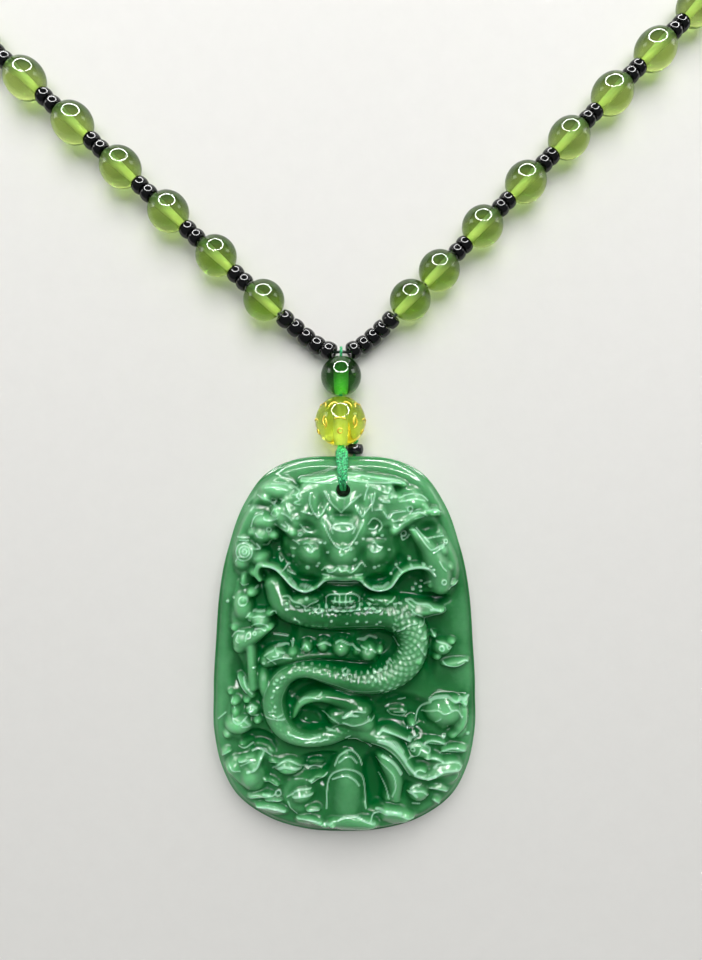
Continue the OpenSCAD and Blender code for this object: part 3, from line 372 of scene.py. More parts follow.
    [(2, 21.8), (1.6, 20.8)], [(-8.1, 22.4), (-7.5, 21.6), (-6.8, 21.1), (-6, 21)],
    [(4.4, 22.6), (5.3, 23.6), (6.4, 23.2), (7, 22.2), (6.4, 21.3)],
    [(4.6, 21.7), (5.5, 21.6), (6.2, 22.2)],
    [(-4.2, 13.8), (-3.5, 14.4), (-2.9, 13.6), (-2, 13.8), (-1.2, 14.5), (-0.6, 13.9)],
    [(-0.6, 13.9), (0.5, 14.1), (1.2, 13.6), (2.2, 14.3), (3.2, 15.3), (4, 14.5)],
    [(-4.1, 13.1), (-3, 13.1)], [(2, 13.2), (3.4, 13.2)], [(-3, 11.7), (2.6, 11.7)],
    [(-3.5, 8.6), (-3.4, 7.1), (-2.7, 6.5), (-0.3, 6.4), (2.1, 6.5), (2.8, 7), (2.9, 8.5)],
    [(-3.4, 8.8), (-2.6, 9.4), (-0.3, 9.6), (1.8, 9.5), (2.8, 8.8)], [(-2.4, 8.3), (1.8, 8.3)],
    [(-2, 7.8), (-1.7, 8.9)], [(-0.9, 7.6), (-0.8, 9.1)], [(0.3, 7.6), (0.3, 9.1)],
    [(1.3, 7.8), (1.1, 8.9)], [(-2.4, 7.2), (1.8, 7.2)], [(-11.3, 9.1), (-10.5, 9), (-9.5, 8.3), (-8, 8)],
    [(-7.8, 7.6), (-7, 7.2), (-6.3, 7.7), (-4.9, 8.2)], [(-7.4, 7.2), (-7.2, 6.5), (-6.4, 6.6)],
    [(-5.9, 6.7), (-4.2, 6.7), (-4.2, 6.2), (-5.9, 6.2)], [(-9, 7.3), (-8.3, 7.2)],
    [(4.2, 7.8), (5.6, 7.7)], [(3.7, 6.9), (5, 7), (6.6, 6.5)], [(5, 6.1), (6.7, 6.4)],
    [(4.5, 8.6), (5.3, 8.5)], [(6.3, 8.4), (7, 8.4)], [(8, 8.3), (9.3, 9.1)], [(9, 8), (10.5, 8)],
    [(-12, 16.5), (-11.7, 15.7), (-11.3, 16)], [(-12, 14.3), (-11.2, 14.1), (-10.5, 15.1)],
    [(-10.5, 14), (-9.8, 13.5), (-9, 13.2)], [(-10.1, 12.8), (-9.6, 12.4)], [(-9.6, 11.7), (-9, 11.1)],
    [(-8, 11.5), (-7.1, 11.3)], [(-7.4, 10.6), (-6, 10.7)], [(5.2, 11.2), (7, 11.1), (8.2, 11.7)],
    [(10, 14.2), (10.6, 13.7)], [(-9.6, 19.6), (-8.9, 19.3), (-8.3, 18.8)], [(-10, 18.1), (-9, 18)],
    [(-7.6, 18.8), (-6.9, 19), (-6.1, 18.5), (-5.6, 17.8)],
    [(-5.6, 17.8), (-6, 17.3), (-6.7, 17.5), (-7.4, 18.2)],
    [(5.2, 19), (5.7, 19.1), (6.3, 18.4), (7, 18.2)],
    [(7, 18.1), (6.6, 17.6), (5.7, 17.3), (5, 17.6), (5.1, 18.4)],
    [(-14.8, -1.9), (-14, -1.2), (-13.1, -0.8)], [(-13, -0.8), (-12.2, -1.8), (-13.2, -2)],
    [(-12.2, -0.7), (-11, -1.1)], [(-14.2, -3.2), (-13, -2.5), (-11.8, -2.3), (-9.8, -2.4)],
    [(-14.4, -2.4), (-13.6, -2.8), (-12.8, -3.6)], [(-8, -0.8), (-7.2, 0.4), (-6.4, -0.5)],
    [(-5, 0.4), (-4.2, 0.9), (-3.4, 1), (-2.5, 0.3)],
    [(-1.6, 0.5), (-0.8, 0.9), (0.2, 0.6), (1.6, -0.3), (2.9, -0.9)], [(3.2, -0.4), (4.2, -0.6)],
    [(4.7, 0), (5.8, -1.2)],
    [(5.2, -3.8), (6.4, -3.3), (7.6, -2.8), (7.8, -2.2), (8.3, -1.7), (8.8, -2.1)],
    [(2.4, 1.3), (3.6, 1.5), (4.7, 1.8), (6, 1.3)], [(-13, 2.1), (-10.5, 1.8)],
    [(-12.2, 0.4), (-10.2, 0.4)], [(-9.9, 0.8), (-9.4, 0.4), (-9.6, 1.2)],
    [(-13.6, 6.2), (-12.8, 6.4), (-12.6, 6)], [(9.2, 1.2), (10, 0.2)],
    [(13.6, 0.3), (14.4, -1), (15.1, -2)], [(-9.3, 4.9), (-8.6, 4.6), (-8.3, 4.3)],
    [(0.2, -12.8), (1.2, -12.3), (2.4, -12.2), (4, -12.4)], [(0, -13.4), (1, -13), (2.6, -13.1)],
    [(-0.2, -14.3), (1.4, -14.8), (3, -14.6), (4.6, -14.2)], [(4.4, -13), (4.8, -13.8), (5.6, -13.6)],
    [(-4.1, -13), (-2.4, -13.4), (-1, -14.2)],
    [(-10.3, -15.6), (-8.6, -16.3), (-6.6, -16.7), (-4.4, -16.3)],
    [(-7.2, -17.9), (-5, -17.8), (-3.2, -17.4)], [(-3.4, -15.7), (-1.7, -15.7)],
    [(-14.5, -13.4), (-13, -13.6), (-11.2, -13.9)], [(-13.9, -12.8), (-12.5, -13.2), (-11.6, -13.1)],
    [(-14, -12.3), (-12.8, -12.2)], [(-8.4, -10.6), (-7.4, -9.8), (-6, -9.5), (-4.6, -9.7)],
    [(-4.6, -8.7), (-4.1, -8.4)], [(0.8, -17.5), (2.2, -17.2), (3.4, -18), (5, -19.3)],
    [(1, -16.7), (0.2, -17.1)],
]
# Bolder raised lines.
BOLD_LINES = [
    [(-22.6, -20.1), (-21.1, -19.3)],
    [(-18, -23.5), (-17, -23.2), (-16.1, -22.6), (-15.7, -21.6), (-15.2, -20.5)],
    [(-12.8, -23.3), (-11.2, -22.5), (-10, -22.6), (-8.2, -23.2)],
    [(-16.2, -29.7), (-14, -29.8), (-11, -30.5)], [(-9.5, -28.3), (-8, -27.9), (-6, -27.9)],
    [(-6.8, -30), (-4.7, -30)], [(6, -31.1), (8, -30.8), (10.5, -31.1)],
    [(12, -27.4), (12.7, -27.5), (13.4, -28)], [(16.5, -28.4), (17.6, -29.2)],
    [(15.5, -24.9), (17, -24.3), (18.5, -23.4), (20.5, -23.3), (22, -23.3)],
    [(7, -20.3), (8.3, -20.9), (9.5, -22), (10.6, -23.8)],
    [(6.3, -17.8), (8.5, -18.5), (10.5, -20.4), (12, -22.6), (13.2, -24)],
    [(13.2, -24), (15.2, -24.7), (16.8, -24.1)],
    [(6.4, -16.1), (7.1, -15.5), (8.5, -16), (10.5, -17), (12.2, -17.8)],
    [(15.8, -10.2), (17, -9.6), (19, -9.4), (20.4, -9.8), (21.5, -9.6), (23, -9.4)],
    [(1.4, -12.5), (-0.2, -13.3)],
    [(-5.7, 10.6), (-7.4, 10), (-9.6, 10.9), (-11.3, 12.7), (-12.9, 14.1), (-15, 14.7)],
    [(3.7, 11.4), (5.2, 10.4), (6.8, 10.1), (8.6, 10.7), (9.9, 12.4)],
    [(12, 14.2), (14, 14.5), (15.7, 14.1), (16.7, 13)],
    [(-4.8, 11.1), (-3.9, 12), (-3, 12.2), (2.6, 12.2), (3.3, 12)], [(16.1, 6.5), (17.3, 6.6)],
]
# Scales on the body: from and to these distances along it, between these shares of its half width, with this
# share of the usual rise.
SCALE_FIELDS = [
    (9, 42, 0.1, 0.95, 1), (24, 44, -0.95, 0.2, 1), (41, 58, -0.9, -0.05, 1), (57, 84, -0.25, 0.3, 0.7),
]
# Bands on the body: from and to these distances along it, at these shares of its half width, and their rise.
BELTS = [
    (9, 24, (-0.55, -0.75), 0.12), (38, 56, (0.42, 0.62, 0.8), 0.14), (57, 84, (-0.62, 0.62), 0.12),
]
# Raised rings: right, up and radius.
RINGS = [
    (-18.5, 17.4, 0.45), (-18.5, 17.4, 1), (-18.5, 17.4, 1.6), (-18.8, 8.2, 0.8), (-16.6, 2.3, 0.3),
    (-14, 21.5, 0.4), (12.2, 25.3, 0.5), (18.5, 11.7, 0.45), (18.8, 19.3, 0.35), (18, -0.5, 0.42),
    (21.6, -10.3, 0.4), (12.6, -18.9, 0.4), (-12.2, -27.3, 0.5), (0.2, -4.9, 0.4), (11, 20.7, 0.5),
    (-8.2, 20.6, 0.3),
]
RING_POINTS = 12
# The boss on the brow: right, up, half length, half height.
BOSS = (-0.2, 22, 1.9, 0.7)
# Small bumps: right, up and radius.
DOTS = [
    (-4.5, 19.1, 0.3), (-3.6, 19, 0.25), (-3.1, 17.3, 0.3), (-0.6, 16.8, 0.3), (-9.5, 16.6, 0.35),
    (-12.1, 17.8, 0.3), (-10.2, 15.2, 0.3), (5.5, 20.5, 0.35), (7, 20.4, 0.35), (3.5, 19.8, 0.3),
    (2.2, 19, 0.35), (1.2, 17.9, 0.35), (2, 16, 0.4), (8.3, 17.8, 0.3), (12, 16.1, 0.4), (-5, 14.8, 0.3),
    (-6.8, 14.5, 0.5), (5.6, 14.5, 0.4), (6.4, 14.8, 0.3), (8.6, 13.3, 0.3), (9.6, 15, 0.35),
    (10.4, 14, 0.3), (-7, 8.7, 0.4), (-10.6, 7.8, 0.3), (-10.7, 6.7, 0.35), (-4.7, 15.3, 0.3),
    (-17.6, 4.6, 0.35), (-20.5, 8.9, 0.3), (-21.6, 8.2, 0.35), (-16, 11.1, 0.3), (14.2, 12, 0.3),
    (14, 10.9, 0.35), (12.7, 10.4, 0.35), (14.1, 10.1, 0.3), (13.2, 11.4, 0.3), (16.5, 14, 0.3),
    (14.6, 15.2, 0.35), (15.9, 14.6, 0.3), (12.3, 15, 0.3), (15, 1.3, 0.4), (14, 2.5, 0.35),
    (10.2, -1.1, 0.3), (9.3, 3, 0.3), (9.3, 4, 0.3), (6.6, 4.4, 0.3), (4.1, 4.4, 0.3), (0.5, 4.1, 0.3),
    (2.4, 4.5, 0.35), (6, 4, 0.25), (-2.4, 4.5, 0.3), (18.4, -16.8, 0.35), (22.9, -16.4, 0.4),
    (22.4, -11.1, 0.5), (-7.1, -13.6, 0.25), (-16.6, -3.9, 0.3), (-15, -3.3, 0.35), (-13.4, -9.6, 0.3),
    (-13, -8.5, 0.3), (-12.4, -7.8, 0.3), (-13, -7.1, 0.3), (-12.5, -6.4, 0.35), (-11.6, -6, 0.3),
    (-12.8, -11.4, 0.3), (8.5, 29, 0.3), (6.8, 27, 0.3), (8.7, 27.4, 0.3), (-8.7, 23.6, 0.35),
]

# Powers of the rounded cross section of strands and mounds.
STRAND_POWER = 2.2
ROUND_POWER = 0.55
# A ribbon lies this far below its crest and has rims of this height. The place and the spread of the rims and
# the edge over which it falls off are shares of its half width.
RIBBON_DROP = 1.0
RIBBON_RIM = 0.2
RIM_AT = 0.6
RIM_SPREAD = 0.2
RIBBON_EDGE = 0.45
LEVEL_EDGE = 0.5
# Half width of the body as its scales count it, and the size of a scale, in millimetres. A field of scales
# fades out over the edge, a share of the half width.
SCALED_HALF_WIDTH = 3.0
SCALE_SIZE = 1.35
SCALE_EDGE = 0.15
SCALE_POWER = 0.6
BELT_SPREAD = 0.06
# A wave rises over this share of its form, and it runs out below from its lower edge on over this length.
WAVE_EDGE = 0.5
WAVE_START = 1.3
WAVE_LENGTH = 1.6
# The height that a crest is taken to have until it is known, and the height that the waves rise from.
USUAL_CREST = 9.0
USUAL_GROUND = 6.0
POCKET_STEEPNESS = 1.15
# How softly some forms meet what is below them, in millimetres.
LOBE_BLEND = 0.4
BODY_BLEND = 0.3
KNUCKLE_BLEND = 0.15
RIBBON_BLEND = 0.3
LEVEL_BLEND = 0.5
# Width and rise of bold lines, as multiples of a fine line's.
BOLD_WIDTH = 1.4
BOLD_RISE = 1.3
# A bump is a very short line. Its width is a multiple of its radius and its rise one of a fine line's.
DOT_HALF = 0.05
DOT_WIDTH = 1.3
DOT_RISE = 1.2
STRAND_STEPS = 6
LINE_STEPS = 5
# Farther than any place is.
FAR = 1e9

# The ground drops at the rim over the first width, and the carving fades out over the second.
RIM_WIDTH = 1.6
FADE_WIDTH = 1.0
# Recesses are found against two smoothed copies of the face, whose heights are averaged with their neighbours
# this many times.
NEAR_TIMES = 60
WIDE_TIMES = 400
# The values that paint light and shade into the stone's colour come from millimetres with these numbers.
HEIGHT_LOW = 4.4
HEIGHT_RANGE = 8
CAVITY_RANGE = 3
FINE_GAIN = 2
# Turns of the rounded front edge in degrees.
EDGE_TURNS = (22.5, 45, 67.5, 90)
# Rings of the hole's wall: height above the back and widening.
HOLE_RINGS = ((3.0, 0), (0.3, 0), (0.0, 0.3))

# The thread crosses the cord's eye over the top bead. A small gap is left between that bead and the gold one.
BEAD_GAP = 0.1
EYE_OVER_BEAD = 0.8
CROSSING = Vector((
    -0.65,
    PLAQUE_TOP + GOLD_OVER_TOP + math.sqrt((GOLD_R + TOP_R) ** 2 - (GOLD_R - TOP_R) ** 2) + BEAD_GAP + TOP_R
    + EYE_OVER_BEAD,
    3.6))
EYE_R = 0.78
EYE_TURNS = [math.radians(degrees) for degrees in range(-45, 206, 25)]
# The cord's route: right, up, height, half width across and half thickness, from the eye round the thread to
# the knot behind the black bead. It repeats the route in the part's source.
CORD_ROUTE = [
    (CROSSING.x, 53.75, 3.35, 0.25, 0.25), (CROSSING.x, 54.05, 3.28, 0.28, 0.28),
    *[(CROSSING.x, CROSSING.y + EYE_R * math.sin(turn), CROSSING.z - EYE_R * math.cos(turn), 0.3, 0.3)
      for turn in EYE_TURNS],
    (-0.65, 54, 4.12, 0.34, 0.34), (-0.65, 53.2, 3.95, 0.45, 0.45), (-0.65, 52.6, 3.85, 0.6, 0.6),
    (-0.65, 47.5, 3.9, 0.55, 0.55), (-0.69, 46.4, 4.3, 0.36, 0.36), (-0.74, 45.4, 4.7, 0.55, 0.55),
    (-0.74, 37.7, 4.75, 0.6, 0.6), (-0.7, 37, 4.75, 0.7, 0.55), (-0.6, 36.3, 5.15, 0.95, 0.6),
    (-0.5, 35.8, 6.05, 1.2, 0.6), (-0.45, 35.4, 7.2, 1.3, 0.6), (-0.4, 34.8, 8, 1.3, 0.6),
    (-0.4, 34, 8.6, 1.25, 0.6), (-0.35, 33.1, 9.2, 1.15, 0.6), (-0.35, 32.3, 10, 1.1, 0.6),
    (-0.3, 31.5, 10.6, 1, 0.6), (-0.3, 30.7, 10.7, 0.95, 0.6), (-0.25, 29.9, 10.3, 0.85, 0.55),
    (-0.2, 29.3, 9.4, 0.75, 0.5), (-0.2, 29, 8.4, 0.65, 0.5), (-0.2, 28.95, 6, 0.6, 0.5),
    (-0.2, 28.95, 3.5, 0.6, 0.5), (-0.2, 29, 2.1, 0.6, 0.48), (-0.15, 29.25, 1.2, 0.58, 0.46),
    (0, 29.85, 0.7, 0.6, 0.46), (0.3, 31, 0.58, 0.6, 0.46), (0.9, 32.4, 0.57, 0.6, 0.46),
    (1.5, 33.9, 0.57, 0.55, 0.45), (1.75, 34.6, 0.75, 0.42, 0.38), (1.85, 35.15, 1.25, 0.32, 0.3),
    (1.9, 35.58, 1.72, 0.26, 0.26), (1.9, 37.5, 1.75, 0.28, 0.28), (2, 37.8, 1.65, 0.6, 0.6),
    (2.15, 38.3, 1.55, 0.64, 0.64), (2.25, 38.65, 1.45, 0.3, 0.3),
]


class PendantSettings(bpy.types.PropertyGroup):
    """Sizes and colours of the carved plaque."""
    ground: FloatProperty(
        name="Ground", description="Thickness at the smooth ground, in millimetres", default=6.3)
    recess: FloatProperty(
        name="Recess", description="Thickness where the carving is cut deepest, in millimetres", default=4.6)
    edge_drop: FloatProperty(
        name="Edge drop", description="Drop of the front edge below the ground, in millimetres", default=0.9)
    edge_round: FloatProperty(
        name="Edge round", description="Radius of the front edge, in millimetres", default=0.45)
    back_slope: FloatProperty(
        name="Back slope", description="Size of the slope round the back edge, in millimetres", default=0.8)
    hole: FloatProperty(
        name="Hole", description="Radius of the hole for the cord, in millimetres", default=1.3)
    across: IntProperty(
        name="Across", description="Cells of the carved face across the plaque", default=250)
    along: IntProperty(
        name="Along", description="Cells of the carved face along the plaque", default=354)
    blend: FloatProperty(
        name="Blend", description="How softly raised forms meet, in millimetres", default=0.55)
    softening: IntProperty(
        name="Softening", description="How often the large forms are averaged with their surroundings",
        default=3)
    line_half: FloatProperty(
        name="Line", description="Half width of a fine raised line, in millimetres", default=0.26)
    line_rise: FloatProperty(
        name="Line rise", description="Height of a fine raised line, in millimetres", default=0.26)
    scale_rise: FloatProperty(
        name="Scale rise", description="Height of the body's scales, in millimetres", default=0.32)
    # These four colours paint light and shade: deep is the painted shade in the recesses, middle the ground,
    # light the painted light on raised forms, and pale the painted highlight on fine ridges.
    deep: FloatVectorProperty(
        name="Deep", description="Colour of the stone in the recesses", subtype="COLOR",
        default=srgb(0, 100, 40))
    middle: FloatVectorProperty(
        name="Middle", description="Colour of the stone's ground", subtype="COLOR", default=srgb(54, 132, 74))
    light: FloatVectorProperty(
        name="Light", description="Colour of the stone on raised forms", subtype="COLOR",
        default=srgb(140, 220, 158))
    pale: FloatVectorProperty(
        name="Pale", description="Colour of the stone on fine ridges", subtype="COLOR",
        default=srgb(200, 250, 218))


class BeadSettings(bpy.types.PropertyGroup):
    """Colours of the beads, and how many sides they have."""
    # Each low colour is painted light: a glass bead is painted lighter toward it at its front edge and keeps
    # the darker colour toward its back, a painted shade.
    green: FloatVectorProperty(
        name="Green glass", description="Colour of the strand's glass beads", subtype="COLOR",
        default=srgb(94, 132, 68))
    green_low: FloatVectorProperty(
        name="Green glass, low", description="Colour of the same beads at their low edge", subtype="COLOR",
        default=srgb(238, 255, 128))
    gold: FloatVectorProperty(
        name="Gold glass", description="Colour of the yellow glass bead", subtype="COLOR",
        default=srgb(212, 228, 116))
    gold_low: FloatVectorProperty(
        name="Gold glass, low", description="Colour of the yellow bead at its low edge", subtype="COLOR",
        default=srgb(244, 248, 140))
    top: FloatVectorProperty(
        name="Dark glass", description="Colour of the glass bead over the yellow one", subtype="COLOR",
        default=srgb(70, 112, 62))
    top_low: FloatVectorProperty(
        name="Dark glass, low", description="Colour of that bead at its low edge", subtype="COLOR",
        default=srgb(124, 190, 88))
    bore: FloatVectorProperty(
        name="Bore", description="Colour of the drilled bores", subtype="COLOR", default=srgb(236, 250, 214))
    gold_bore: FloatVectorProperty(
        name="Gold bore", description="Colour of the yellow bead's bore", subtype="COLOR",
        default=srgb(222, 232, 120))
    top_bore: FloatVectorProperty(
        name="Dark bore", description="Colour of the bore of the bead over the yellow one", subtype="COLOR",
        default=srgb(120, 240, 96))
    black: FloatVectorProperty(
        name="Black glass", description="Colour of the small black beads", subtype="COLOR",
        default=srgb(4, 4, 5))
    sides: IntProperty(name="Sides", description="Sides of a green bead", default=40)
    small_sides: IntProperty(name="Small sides", description="Sides of a black bead", default=20)


class CordSettings(bpy.types.PropertyGroup):
    """Sizes and colours of the pendant's cord and of the thread."""
    pitch: FloatProperty(
        name="Pitch", description="Length of one turn of the cord's plies, in millimetres", default=2.1)
    light: FloatVectorProperty(
        name="Cord", description="Colour of the cord where it is lightest", subtype="COLOR",
        default=srgb(92, 240, 158))
    dark: FloatVectorProperty(
        name="Cord shade", description="Colour of the cord between its fibres", subtype="COLOR",
        default=srgb(0, 84, 46))
    thread: FloatVectorProperty(
        name="Thread", description="Colour of the strand's thread", subtype="COLOR",
        default=srgb(18, 40, 26))


class StageSettings(bpy.types.PropertyGroup):
    """The floor, the lights and the camera."""
    floor: FloatVectorProperty(
        name="Floor", description="Colour of the floor", subtype="COLOR", default=srgb(226, 224, 219))
    ring_power: FloatProperty(name="Ring light", description="Brightness of the ring light", default=60.0)
    card: FloatProperty(name="Side cards", description="Brightness of the two side cards", default=4.5)
    key: FloatProperty(name="Key light", description="Power of the soft light", default=24.0, unit="POWER")
    sky: FloatProperty(name="Sky", description="Brightness of the surroundings", default=0.24)
    lens: FloatProperty(
        name="Lens", description="Focal length of the camera, in millimetres", default=25.875)


class Value:
    """A node's output, so that shader maths reads as an expression."""

    def __init__(self, shader, socket):
        self.shader = shader
        self.socket = socket

    def maths(self, operation, first, second):
        return self.shader.node("ShaderNodeMath", {"operation": operation}, {0: first, 1: second})

    def __add__(self, other):
        return self.maths("ADD", self, other)

    def __sub__(self, other):
        return self.maths("SUBTRACT", self, other)

    def __mul__(self, other):
        return self.maths("MULTIPLY", self, other)


class Shader:
    """A material whose nodes are made one by one."""

    def __init__(self, name):
        self.material = bpy.data.materials.new(name)
        self.material.use_nodes = True
        self.tree = self.material.node_tree
        self.tree.nodes.clear()

    def node(self, kind, settings=None, sockets=None, output=0):
        """Makes a node, gives it its settings, then its sockets their values or links."""
        made = self.tree.nodes.new(kind)
        for key, value in (settings or {}).items():
            if key == "stops":
                ramp = made.color_ramp.elements
                while len(ramp) < len(value):
                    ramp.new(1)
                for stop, (place, colour) in zip(ramp, value):
                    stop.position = place
                    stop.color = colour
            else:
                setattr(made, key, value)
        for key, value in (sockets or {}).items():
            if isinstance(value, Value):
                self.tree.links.new(value.socket, made.inputs[key])
            else:
                made.inputs[key].default_value = value
        return Value(self, made.outputs[output])

    def attribute(self, name):
        """A number that the mesh holds for each of its vertices."""
        return self.node("ShaderNodeAttribute", {"attribute_name": name}, output="Fac")

    def principled(self, sockets, settings=None):
        """A surface with these values or links."""
        return self.node("ShaderNodeBsdfPrincipled", settings, sockets)

    def mix(self, factor, first, second):
        """Two colours mixed. Their sockets on the node are 6 and 7, and the mixed colour's is 2."""
        return self.node("ShaderNodeMix", {"data_type": "RGBA"}, {0: factor, 6: first, 7: second}, output=2)

    def ramp(self, value, *stops):
        """A number looked up between stops of a place and a grey."""
        colours = [(place, (grey, grey, grey, 1)) for place, grey in stops]
        return self.node("ShaderNodeValToRGB", {"stops": colours}, {"Fac": value})

    def place(self, scale):
        """Object coordinates, scaled."""
        coordinates = self.node("ShaderNodeTexCoord", output="Object")
        return self.node("ShaderNodeMapping", {}, {"Vector": coordinates, "Scale": (scale, scale, scale)})

    def noise(self, size, detail=3.0, roughness=0.55):
        """Noise with features of about this size in millimetres."""
        return self.node("ShaderNodeTexNoise", {}, {
            "Vector": self.place(1 / (size * MM)), "Scale": 1.0, "Detail": detail, "Roughness": roughness})

    def bump(self, height, distance):
        """A Normal from a height from 0 to 1 that stands for this distance in millimetres."""
        return self.node("ShaderNodeBump", {}, {"Height": height, "Distance": distance * MM, "Strength": 1.0})

    def done(self, surface):
        """Puts the surface on the output and gives the material back."""
        output = self.tree.nodes.new("ShaderNodeOutputMaterial")
        self.tree.links.new(surface.socket, output.inputs["Surface"])
        return self.material


def solid_colour(colour):
    """A colour with a full alpha."""
    return (*colour, 1.0)


def jade_material(settings):
    """Translucent polished green stone. Light and shade are painted into its colour: painted light on the
    raised forms and toward the edges and the top, a painted highlight on the fine ridges, and deep green
    painted shade in the recesses and round the middle.
    """
    s = Shader("carved_green_stone")
    cavity = s.attribute("cavity")
    height = s.attribute("height")
    outward = s.attribute("outward")
    cloud = s.noise(9, detail=4)
    grain = s.noise(0.9, detail=4)
    # The level paints light and shade into the colour: painted light on raised forms and toward the edges and
    # the top, painted shade in the recesses and round the middle. The two noises are the stone's own uneven
    # tone. The coat follows the level, so the recesses lose gloss with their painted shade.
    level = (height * 0.34 + (cavity - 0.5) * 0.93 + outward * 0.6 + (cloud - 0.5) * 0.34
             + (grain - 0.5) * 0.08 - 0.255)
    low = s.ramp(level, (0.0, 0.0), (0.4, 1.0))
    high = s.ramp(level, (0.3, 0.0), (0.95, 1.0))
    colour = s.mix(high, s.mix(low, solid_colour(settings.deep), solid_colour(settings.middle)),
                   solid_colour(settings.light))
    # The fine ridges are painted pale, a painted highlight along the raised lines.
    fine = s.attribute("fine")
    colour = s.mix(s.ramp(fine, (0.62, 0.0), (0.95, 0.55)), colour, solid_colour(settings.pale))
    scratches = s.noise(0.35, detail=5, roughness=0.7)
    tool_marks = s.noise(2.2, detail=2, roughness=0.45)
    surface = s.principled({
        "Base Color": colour, "Roughness": s.ramp(scratches, (0.3, 0.05), (0.7, 0.12)),
        "Subsurface Weight": 0.75, "Subsurface Radius": (0.3, 1.0, 0.45), "Subsurface Scale": 2.0 * MM,
        "IOR": 1.62, "Specular IOR Level": 0.27, "Coat Weight": s.ramp(level, (0.15, 0.0), (0.6, 0.18)),
        "Coat Roughness": 0.03,
        "Normal": s.bump(scratches * 0.08 + tool_marks * s.ramp(height, (0.24, 0.05), (0.4, 1.0)), 0.2),
    }, {"subsurface_method": "RANDOM_WALK"})
    return s.done(surface)


def glass_material(name, colour, low_colour, clear_share, streak):
    """Glass with painted light and shade: its colour is painted light at a bead's front edge, where light
    gathered through the glass glows, and darker toward its back, and it lets part of the light straight
    through.
    """
    s = Shader(name)
    cloud = s.noise(3, detail=3)
    low = s.attribute("low")
    # The tint is painted light at a bead's front edge, a painted glow, and painted shade toward its back; the
    # front edge also lets less light straight through.
    tint = s.mix(s.ramp(low, (0.2, 0.0), (0.5, 0.4), (0.8, 1.0)), solid_colour(colour),
                 solid_colour(low_colour))
    pale_streak = (0.85, 0.95, 0.7, 1)
    tint = s.mix(s.ramp(cloud, (0.35, 0.0), (0.7, streak)), tint, pale_streak)
    body = s.principled({
        "Base Color": tint, "Roughness": 0.02, "IOR": 1.5, "Transmission Weight": 1.0,
        "Normal": s.bump(s.noise(1.5), 0.006)})
    through = s.node("ShaderNodeBsdfTransparent", {}, {"Color": solid_colour(colour)})
    share = s.ramp(low, (0.4, clear_share), (0.85, clear_share * 0.25))
    return s.done(s.node("ShaderNodeMixShader", {}, {0: share, 1: body, 2: through}))


def bore_material(name, colour):
    """The ground wall of a drilled bore, which scatters light."""
    s = Shader(name)
    grit = s.noise(0.25, detail=4)
    pale_grit = (0.95, 1.0, 0.85, 1)
    wall = s.principled({
        "Base Color": s.mix(s.ramp(grit, (0.35, 0.0), (0.7, 0.4)), solid_colour(colour), pale_grit),
        "Roughness": s.ramp(grit, (0.3, 0.3), (0.7, 0.6)), "Normal": s.bump(grit, 0.02)})
    glow = s.node("ShaderNodeBsdfTranslucent", {}, {"Color": solid_colour(colour)})
    return s.done(s.node("ShaderNodeMixShader", {}, {0: 0.4, 1: wall, 2: glow}))


def black_glass_material(settings):
    """Opaque black glass with a high polish."""
    s = Shader("black_glass")
    spots = s.noise(0.8, detail=4)
    spot = (0.006, 0.006, 0.007, 1)
    surface = s.principled({
        "Base Color": s.mix(s.ramp(spots, (0.4, 0.0), (0.7, 0.5)), solid_colour(settings.black), spot),
        "Roughness": s.ramp(spots, (0.3, 0.03), (0.8, 0.09)), "IOR": 1.5, "Specular IOR Level": 0.4,
        "Normal": s.bump(s.noise(1.2), 0.006)})
    return s.done(surface)


def cord_material(settings):
    """Silky twisted fibre."""
    s = Shader("twisted_cord")
    fibres = s.noise(0.3, detail=5, roughness=0.75)
    surface = s.principled({
        "Base Color": s.mix(s.ramp(fibres, (0.42, 0.0), (0.56, 1.0)), solid_colour(settings.dark),
                            solid_colour(settings.light)),
        "Roughness": s.ramp(fibres, (0.3, 0.6), (0.7, 0.42)), "Specular IOR Level": 0.15,
        "Subsurface Weight": 0.2, "Subsurface Radius": (0.3, 1.0, 0.6), "Subsurface Scale": 0.3 * MM,
        "Normal": s.bump(fibres, 0.03)})
    return s.done(surface)


def thread_material(settings):
    """Dark waxed thread."""
    s = Shader("dark_thread")
    wear = s.noise(0.5, detail=3)
    worn = (0.004, 0.01, 0.006, 1)
    surface = s.principled({
        "Base Color": s.mix(s.ramp(wear, (0.3, 0.0), (0.7, 0.35)), solid_colour(settings.thread), worn),
        "Roughness": s.ramp(wear, (0.3, 0.25), (0.7, 0.4)), "Normal": s.bump(wear, 0.01)})
    return s.done(surface)


def gilt_material():
    """Thin gilt lines, a little worn."""
    s = Shader("gilt_lines")
    wear = s.noise(0.35, detail=5)
    bright = solid_colour(srgb(244, 214, 70))
    worn = solid_colour(srgb(176, 132, 34))
    surface = s.principled({
        "Base Color": s.mix(s.ramp(wear, (0.35, 0.0), (0.75, 1.0)), bright, worn),
        "Metallic": 0.4, "Roughness": s.ramp(wear, (0.3, 0.3), (0.8, 0.5)), "Normal": s.bump(wear, 0.01)})
    return s.done(surface)


def floor_material(colour):
    """Plain pale matt floor."""
    s = Shader("pale_floor")
    grain = s.noise(4, detail=4)
    darker = solid_colour([c * 0.94 for c in colour])
    surface = s.principled({
        "Base Color": s.mix(s.ramp(grain, (0.3, 0.0), (0.7, 0.3)), solid_colour(colour), darker),
        "Roughness": 0.75, "Normal": s.bump(grain, 0.02)})
    return s.done(surface)


def glow_material(name, strength):
    """A surface that gives light."""
    s = Shader(name)
    warm_white = (1, 1, 0.985, 1)
    return s.done(s.node("ShaderNodeEmission", {}, {"Color": warm_white, "Strength": strength}))


